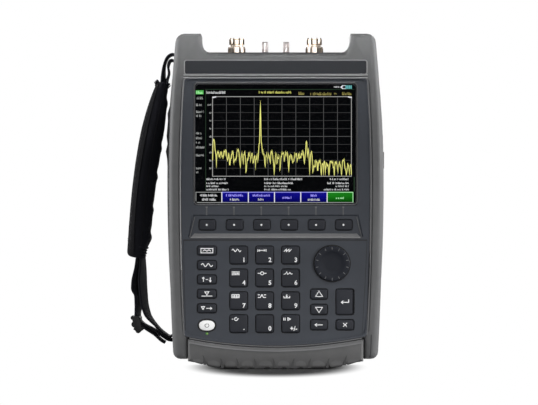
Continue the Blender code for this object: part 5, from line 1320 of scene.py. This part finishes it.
# turn of the lower webbing, in degrees, at heights in millimetres: the hand's strand, then the outer one
innerTurns = ((37, 0), (42, 5), (46, 9), (55, 12.5), (64, 14.5), (78, 14.5), (88, 9.6), (97, 5))
outerTurns = ((44, 8), (55, 11), (63, 12), (69, 23), (77, 22), (88, 10), (97, 5))


def splinePoints(points, steps):
    # a smooth line through the points, with even steps on each stretch
    found = []
    for i in range(len(points) - 1):
        p0, p1, p2, p3 = (Vector(points[min(len(points) - 1, max(0, i + k))]) for k in (-1, 0, 1, 2))
        for k in range(steps):
            t = k / steps
            found.append(0.5 * (2 * p1 + (p2 - p0) * t + (2 * p0 - 5 * p1 + 4 * p2 - p3) * t * t
                                + (3 * p1 - p0 - 3 * p2 + p3) * t ** 3))
    return found + [Vector(points[-1])]


def addWeb(name, pin, offsets, twist, width, ripple=0.0, nodeNames=()):
    # flat webbing along a route in the x-z plane; twist gives its turn in degrees at a point
    path = splinePoints([(pin[0] + x * mm, pin[1] + z * mm) for x, z in offsets], 5)
    section = roundedLoop(width, strap["thick"], strap["thick"] * 0.46, 3)
    rings, cloth = [], []
    run = 0.0
    for i, here in enumerate(path):
        ahead = (path[min(i + 1, len(path) - 1)] - path[max(i - 1, 0)]).normalized()
        run += (here - path[i - 1]).length if i else 0.0
        tangent = Vector((ahead.x, 0, ahead.y))
        a = math.radians(twist(here.x, here.y))
        wide = Vector((math.sin(a), math.cos(a), 0))
        wide = (wide - tangent * wide.dot(tangent)).normalized()
        out = tangent.cross(wide).normalized()
        middle = Vector((here.x, strap["middle"], here.y))
        rings.append([middle + wide * u
                      + out * (v + ripple * math.sin(run / 0.011 + u * 60) * (2 * u / width) ** 2)
                      for u, v in section])
        cloth += [(u, run) for u, v in section]
    bm = bmesh.new()
    loftRings(bm, rings)
    mesh = meshFrom(name, bm, 60)
    layer = mesh.uv_layers.new(name="weave")   # the piece's own cloth map, in metres
    for loop in mesh.loops:
        layer.data[loop.index].uv = cloth[loop.vertex_index]
    addPiece(name, mesh, "strapWeb", "strap_webbing", 60, nodeNames=nodeNames)


def makeWebs(width, upperPin, lowerPin, turn, upperTwist, **others):
    def upperTurn(x, z):   # the two strands turn a little where they leave the sleeve
        share = min(1.0, max(0.0, (upperPin[1] - 0.0035 - z) / 0.012))
        return upperTwist * share * (1 if x < -0.0985 else -1)

    def lowerTurn(x, z):
        turns = innerTurns if x > -0.1205 else outerTurns
        high = z / mm
        for (z0, a0), (z1, a1) in zip(turns, turns[1:]):
            if z0 <= high <= z1:
                return a0 + (a1 - a0) * (high - z0) / (z1 - z0)
        if turns is outerTurns and 38 < high < turns[0][0]:
            return turns[0][1]
        return turns[-1][1] if high > turns[-1][0] else 0

    roundPin = arcPoints(turn, 90, -90, 6)
    addWeb("strap_upper_web", upperPin, upperOut + roundPin + upperBack, upperTurn, width,
           nodeNames=["strap_upper_loop"])
    addWeb("strap_lower_run", lowerPin, lowerOut + roundPin + lowerBack, lowerTurn, width, 0.0004,
           ["strap_lower_web"])
    addWeb("strap_tail", lowerPin, looseTail, lambda x, z: 0, width - 0.0006)


makeWebs(**strap)

# the sleeve: along it, from its top end to its lower end
sleeve = dict(top=(-0.0997, 0.2530), low=(-0.1224, 0.0962), bow=0.0044, width=0.0420, endWidth=0.0300,
              thick=0.0200, topThick=0.0096, lowThick=0.0225, start=0.0013, tapeLift=0.00045, stitch=0.0030,
              stitchGap=0.0014, thread=0.00028)
channelStep = 0.0016 / 0.155   # between two seams across an end, as a share of the length
castReach = 0.06   # rays start well outside the sleeve
stuffing = dict(voxel=0.0030, pressure=4.0, frames=20, cap=0.0020)
# share of the length, depth and reach of the folds on the hand's side
folds = ((0.10, 0.0012, 0.010), (0.36, 0.0010, 0.008), (0.52, 0.0011, 0.009), (0.71, 0.0008, 0.008),
         (0.86, 0.0012, 0.009))


def clamp(value):
    return min(1.0, max(0.0, value))


def sleeveLine(share):
    top, low = Vector(sleeve["top"]), Vector(sleeve["low"])
    run = (top - low).normalized()
    outward = Vector((-run.y, run.x))
    return top.lerp(low, share) + outward * sleeve["bow"] * 4 * share * (1 - share), outward


def sleeveSize(share):
    crown = math.sin(math.pi * clamp(share)) ** 0.5
    width = sleeve["endWidth"] + (sleeve["width"] - sleeve["endWidth"]) * crown
    end = sleeve["topThick"] + (sleeve["lowThick"] - sleeve["topThick"]) * share
    return width / 2, (end + (sleeve["thick"] - end) * crown) / 2


def sleeveStart():
    # slightly smaller than the finished sleeve, because it swells
    bm = bmesh.new()
    rings = []
    for share in evenSteps(0, 1, 40):
        middle, outward = sleeveLine(share)
        half, thick = (size - sleeve["start"] for size in sleeveSize(share))
        ring = []
        for a in circle(28, 0.5):
            u = math.copysign(abs(math.cos(a)) ** 0.72, math.cos(a)) * thick
            v = math.copysign(abs(math.sin(a)) ** 0.55, math.sin(a)) * half
            ring.append((middle.x + u * outward.x, strap["middle"] + v, middle.y + u * outward.y))
        rings.append(ring)
    loftRings(bm, rings)
    return meshFrom("sleeve", bm, 80)


def swell(mesh, voxel, pressure, frames, cap):
    # stuffed cloth: remesh, blow it up a little, keep every point near its start
    scene = bpy.context.scene
    cloth = bpy.data.objects.new("clothTrial", mesh)
    scene.collection.objects.link(cloth)
    remesh = cloth.modifiers.new("remesh", "REMESH")
    remesh.mode = "VOXEL"
    remesh.voxel_size = voxel
    bpy.context.view_layer.update()
    even = bpy.data.meshes.new_from_object(cloth.evaluated_get(bpy.context.evaluated_depsgraph_get()))
    cloth.modifiers.clear()
    cloth.data = even
    start = [v.co.copy() for v in even.vertices]
    sim = cloth.modifiers.new("cloth", "CLOTH")
    sim.settings.use_pressure = True
    sim.settings.uniform_pressure_force = pressure
    sim.settings.effector_weights.gravity = 0
    sim.settings.bending_stiffness = 0.8
    for step in range(1, frames + 1):
        scene.frame_set(step)
    blown = cloth.evaluated_get(bpy.context.evaluated_depsgraph_get())
    found = [v.co.copy() for v in blown.to_mesh().vertices]
    blown.to_mesh_clear()
    cloth.modifiers.clear()
    scene.frame_set(1)
    for vert, first, last in zip(even.vertices, start, found):
        move = last - first
        vert.co = first + (move if move.length < cap else move.normalized() * cap)
    bpy.data.objects.remove(cloth)
    return even


def foldSleeve(mesh):
    # drawn in near both ends where it is sewn shut, small folds on the hand's side
    top, low = Vector(sleeve["top"]), Vector(sleeve["low"])
    length = (top - low).length
    for vert in mesh.vertices:
        here = Vector((vert.co.x, vert.co.z))
        share = (here - top).dot((low - top) / length) / length
        middle, outward = sleeveLine(clamp(share))
        inner = clamp(-(here - middle).dot(outward) / sleeveSize(clamp(share))[1])
        shift = 0.0
        for place, depth, reach in folds:
            d = (share - place) * length / reach
            shift += depth * (math.exp(-((d - 0.25) * 3.2) ** 2)
                              - 0.9 * math.exp(-((d + 0.25) * 3.2) ** 2)) * inner
        if share > 0.90:   # the hand's side narrows where the lower end is gathered
            shift -= 0.0030 * min(1.0, (share - 0.90) / 0.05) * inner
        vert.co.x -= outward.x * shift
        vert.co.z -= outward.y * shift


def tubeAlong(bm, points, radius, sides=8):
    rings = []
    for i, here in enumerate(points):
        ahead = (points[min(i + 1, len(points) - 1)] - points[max(i - 1, 0)]).normalized()
        side = ahead.orthogonal().normalized() if not i else (side - ahead * side.dot(ahead)).normalized()
        up = ahead.cross(side)
        slim = 0.25 if i in (0, len(points) - 1) else 1.0
        rings.append([here + (side * math.cos(a) + up * math.sin(a)) * radius * slim for a in circle(sides)])
    loftRings(bm, rings)


def makeSleeve(tapeLift, stitch, stitchGap, thread, **others):
    shape = swell(sleeveStart(), **stuffing)
    foldSleeve(shape)
    pad = addPiece("strap_sleeve", shape, "padSleeve", "strap_webbing", 80, nodeNames=["strap_pad"])
    rounding = pad.modifiers.new("round", "SUBSURF")
    rounding.levels = rounding.render_levels = 1
    bpy.context.view_layer.update()
    tree = BVHTree.FromObject(pad, bpy.context.evaluated_depsgraph_get())
    tape, welt, threads, gathers, fray = newShapes(5)

    def skinSpots(shares, angles, lift):
        # points on the sleeve's skin and their normals; angle 0 is the hand's side, 90 the back
        found = []
        for share, angle in zip(shares, angles):
            middle, outward = sleeveLine(share)
            centre = Vector((middle.x, strap["middle"], middle.y))
            a = math.radians(angle)
            aim = (Vector((-outward.x, 0, -outward.y)) * math.cos(a)
                   + Vector((0, 1, 0)) * math.sin(a)).normalized()
            hit, normal = tree.ray_cast(centre + aim * castReach, -aim, castReach)[:2]
            if hit is not None:
                found.append((hit + normal * lift, normal))
        return found

    def lengthLine(angle, lift, first=0.015, reach=0.97, steps=90):
        shares = [first + reach * i / steps for i in range(steps + 1)]
        return skinSpots(shares, [angle] * len(shares), lift)

    def roundLine(share, angles, lift):
        return [p for p, n in skinSpots([share] * len(angles), angles, lift)]

    for side in (-1, 1):
        # the tape that binds the outer edge, its welt, and a second seam on the hand's side
        rows = [lengthLine(side * angle, tapeLift) for angle in (104, 108, 112, 116, 121, 127, 134)]
        loftRings(tape, [[p for p, n in spots] + [p - n * 0.0009 for p, n in reversed(spots)]
                         for spots in zip(*rows)])
        for angle, lift, radius in ((103, 0.0001, 0.00065), (78, -0.0001, 0.00050)):
            tubeAlong(welt, [p for p, n in lengthLine(side * angle, lift)], radius)
        line = [p for p, n in lengthLine(side * 114, tapeLift + 0.0001, 0.02, 0.96, 400)]
        step = (line[-1] - line[0]).length / len(line)
        long, gap = max(2, round(stitch / step)), max(1, round(stitchGap / step))
        for at in range(0, len(line) - long, long + gap):
            tubeAlong(threads, line[at:at + long + 1], thread, 6)
    addPiece("strap_sleeve_tape", tape, "padBinding", "strap_webbing", 60)
    addPiece("strap_sleeve_welt", welt, "padBinding", "strap_webbing", 60)

    # sewn channels across both ends, and the gathers at the lower end on the hand's side
    for share in (0.10, 0.90):
        for step in (0.0, channelStep):
            line = roundLine(share + step, range(100, 261, 4), 0.0002)
            for at in range(0, len(line) - 2, 3):
                tubeAlong(threads, line[at:at + 3], thread, 6)
    addPiece("strap_sleeve_stitches", threads, "stitchThread", "strap_webbing", 60)
    for k in range(4):
        line = roundLine(0.937 + 0.0155 * k, range(-86, 87, 4), 0.0001 - 0.0003 * (k % 2))
        tubeAlong(gathers, line, 0.00105 - 0.0001 * k)
    addPiece("strap_sleeve_gathers", gathers, "padSleeve", "strap_webbing", 60)

    # worn ends of the cover at the top
    pick = random.Random(21)
    for k in range(34):
        spot = skinSpots([pick.uniform(0.012, 0.035)], [pick.uniform(0, 360)], 0.0)
        if not spot:
            continue
        base, normal = spot[0]
        rise = (Vector((0.13, 0, 1)) + normal * pick.uniform(0.1, 0.9)
                + Vector((pick.uniform(-0.3, 0.3), pick.uniform(-0.3, 0.3), 0))).normalized()
        long = pick.uniform(0.0016, 0.0042)
        bend = base + rise * long * 0.6
        tubeAlong(fray, [base - rise * 0.001, base + rise * long * 0.25, bend,
                         bend + (rise + normal * 0.5).normalized() * long * 0.45],
                  pick.uniform(0.00035, 0.0008), 5)
    addPiece("strap_sleeve_fray", fray, "padSleeve", "strap_webbing", 60)


makeSleeve(**sleeve)
print("sleeve stuffed and sewn")

# slider: two side cheeks, rounded bars and a lip, tilted the way the webbing pulls it
slider = dict(cheek=0.0028, bar=0.0024, tilt=-14, spread=0.0058, wide=0.0070, shift=(-0.0008, 0.0, -0.0062))


def makeSlider(cheek, bar, tilt, spread, wide, shift):
    low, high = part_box("strap_slider")
    place = Matrix.Translation(middleOf("strap_slider") + Vector(shift))
    half = (high.y - low.y) / 2
    bm = bmesh.new()
    bars = [(-0.0028, spread + 0.0006, bar * 0.8), (-0.0026, 0.0004, bar * 1.2), (-0.0008, -spread, bar),
            (0.0022, spread - 0.0014, bar * 0.75), (0.0026, -spread + 0.0010, bar * 0.75)]
    for x, z, radius in bars:
        loftRings(bm, [atDepth(discPoints(x, z, radius), y) for y in (
            -half + 0.0010, -half + 0.0016, -half + 0.004, 0, half - 0.004, half - 0.0016, half - 0.0010)])
    loop = roundedLoop(wide, 2 * spread + 0.0032, 0.0032, 5)
    for side in (-1, 1):
        rings = []
        for depth, grow in ((0.0, -0.0006), (0.0004, -0.0001), (0.0010, 0.0), (cheek - 0.0010, 0.0),
                            (cheek - 0.0004, -0.0001), (cheek, -0.0006)):
            size = 1 + 2 * grow / wide
            rings.append([(x * size - 0.0002, side * (half - depth), z * size) for x, z in loop])
        loftRings(bm, rings)
    rings = []   # the pull lip, tipped outward
    for y in evenSteps(0.005 - half, half - 0.005, 6):
        arch = 0.0008 * math.cos(math.pi * (y / half) / 2)
        rings.append(atDepth(((-0.0030, -spread + 0.0042), (-0.0046 - arch, -spread + 0.0022),
                              (-0.0040 - arch, -spread + 0.0010), (-0.0016, -spread + 0.0016)), y))
    loftRings(bm, rings)
    bm.transform(place @ Matrix.Rotation(math.radians(tilt), 4, "Y"))
    addPiece("strap_ladder_slider", bm, "sliderBlack", "black_plastic", 45, nodeNames=["strap_slider"])


makeSlider(**slider)
print("strap made")

# camera, paper and light
# shadowReach: distances over which the grey paper, painted shade round the foot, fades to white; paper: its
# grey tones
studio = dict(eye=(-0.0058, -2.436, 0.1455), viewWidth=0.470, frontPlane=-0.036, sensor=36.0, worldLevel=0.03,
              floorSize=9.0, shadowReach=(0.082, 0.165), paper=(0.62, 0.66))
# place, aim, size, power, spread
# softboxRear lights the paper only and throws the shadow in front of the foot, the others leave the paper alone
# two are gridded: on the brow above the screen and low on the bumper
lamps = {
    "softboxAbove": ((-0.10, -0.15, 1.60), (0, 0, 0.16), (1.2, 0.9), 5.0, 180),
    "softboxFront": ((0.30, -2.20, 0.90), (0, 0, 0.15), (1.2, 1.0), 16.0, 180),
    "stripLeft": ((-1.00, -0.10, 0.45), (0, 0, 0.20), (0.35, 0.5), 12.75, 180),
    "stripRight": ((1.00, -0.10, 0.45), (0, 0, 0.20), (0.35, 0.5), 15.0, 180),
    "gridBrow": ((0.0, -0.90, 0.72), (0, -0.036, 0.33), (0.5, 0.05), 0.21, 12),
    "gridKick": ((0.42, -0.92, 0.03), (0.07, -0.036, 0.014), (0.6, 0.06), 0.135, 20),
    "softboxBack": ((-0.40, 2.20, 0.70), (0, 0, 0.15), (1.2, 1.0), 24.0, 180),
    "softboxRear": ((0.10, 1.00, 1.40), (0, 0, 0.10), (0.6, 0.5), 40.0, 180),
}


def addLamp(name, receivers, place, aim, size, power, spread):
    lamp = bpy.data.lights.new(name, "AREA")
    lamp.shape = "RECTANGLE"
    lamp.size, lamp.size_y = size
    lamp.energy = power
    lamp.spread = math.radians(spread)
    holder = bpy.data.objects.new(name, lamp)
    bpy.context.scene.collection.objects.link(holder)
    holder.location = place
    holder.rotation_euler = (Vector(aim) - Vector(place)).to_track_quat("-Z", "Y").to_euler()
    holder.visible_camera = False
    holder.light_linking.receiver_collection = receivers


def makeStudio(eye, viewWidth, frontPlane, sensor, worldLevel, floorSize, shadowReach, paper):
    lens = bpy.data.cameras.new("photoView")
    lens.sensor_width = sensor
    lens.lens = sensor * (frontPlane - eye[1]) / viewWidth
    lens.clip_start, lens.clip_end = 0.05, 50
    camera = bpy.data.objects.new("photoView", lens)
    bpy.context.scene.collection.objects.link(camera)
    camera.location = eye
    camera.rotation_euler = (math.radians(90), 0, 0)
    bpy.context.scene.camera = camera

    world = bpy.data.worlds.new("studioAir")
    bpy.context.scene.world = world
    world.use_nodes = True
    tree = world.node_tree
    backing = tree.nodes["Background"]
    seen = Wire(tree).seenRays()
    tree.links.new((seen + (1 - seen) * worldLevel).socket, backing.inputs["Strength"])
    backing.inputs["Color"].default_value = rgb(1, 1, 1)

    floorMesh = bpy.data.meshes.new("floor")
    half = floorSize / 2
    corners = [(-half, -half, 0), (half, -half, 0), (half, half, 0), (-half, half, 0)]
    floorMesh.from_pydata(corners, [], [(0, 1, 2, 3)])
    floor = bpy.data.objects.new("floor", floorMesh)
    bpy.context.scene.collection.objects.link(floor)
    shader, place = startFinish("floorPaper", {"Roughness": 0.9, "Specular IOR Level": 0.1})
    feed(shader, colour=place.noise(0.004, 2).mix(*(rgb(tone, tone, tone) for tone in paper)))
    # far from the object the paper is plain white; near it the paper is grey, a painted shade round the foot
    # that fades to white with distance, and there it also takes the real shadow
    away = place.add("ShaderNodeVectorMath", {"operation": "LENGTH"}, {0: place.stretch(2.0, 1, 0)}, "Value")
    far = away.fade(*shadowReach)
    white = place.add("ShaderNodeEmission", None, {"Color": rgb(1, 1, 1), "Strength": 1.0})
    blend = place.add("ShaderNodeMixShader", None, {0: place.seenRays() * far * far,
                                                    1: Wire(place.tree, shader.outputs[0]), 2: white})
    place.tree.links.new(blend.socket, place.tree.nodes["Material Output"].inputs["Surface"])
    floorMesh.materials.append(finishes["floorPaper"])

    notPaper, paperOnly = bpy.data.collections.new("notPaper"), bpy.data.collections.new("paperOnly")
    for group, state in ((notPaper, "EXCLUDE"), (paperOnly, "INCLUDE")):
        group.objects.link(floor)
        group.collection_objects[0].light_linking.link_state = state
    for name, look in lamps.items():
        addLamp(name, paperOnly if name == "softboxRear" else notPaper, *look)


makeStudio(**studio)
bpy.context.scene.view_settings.view_transform = "Standard"
print("studio set")
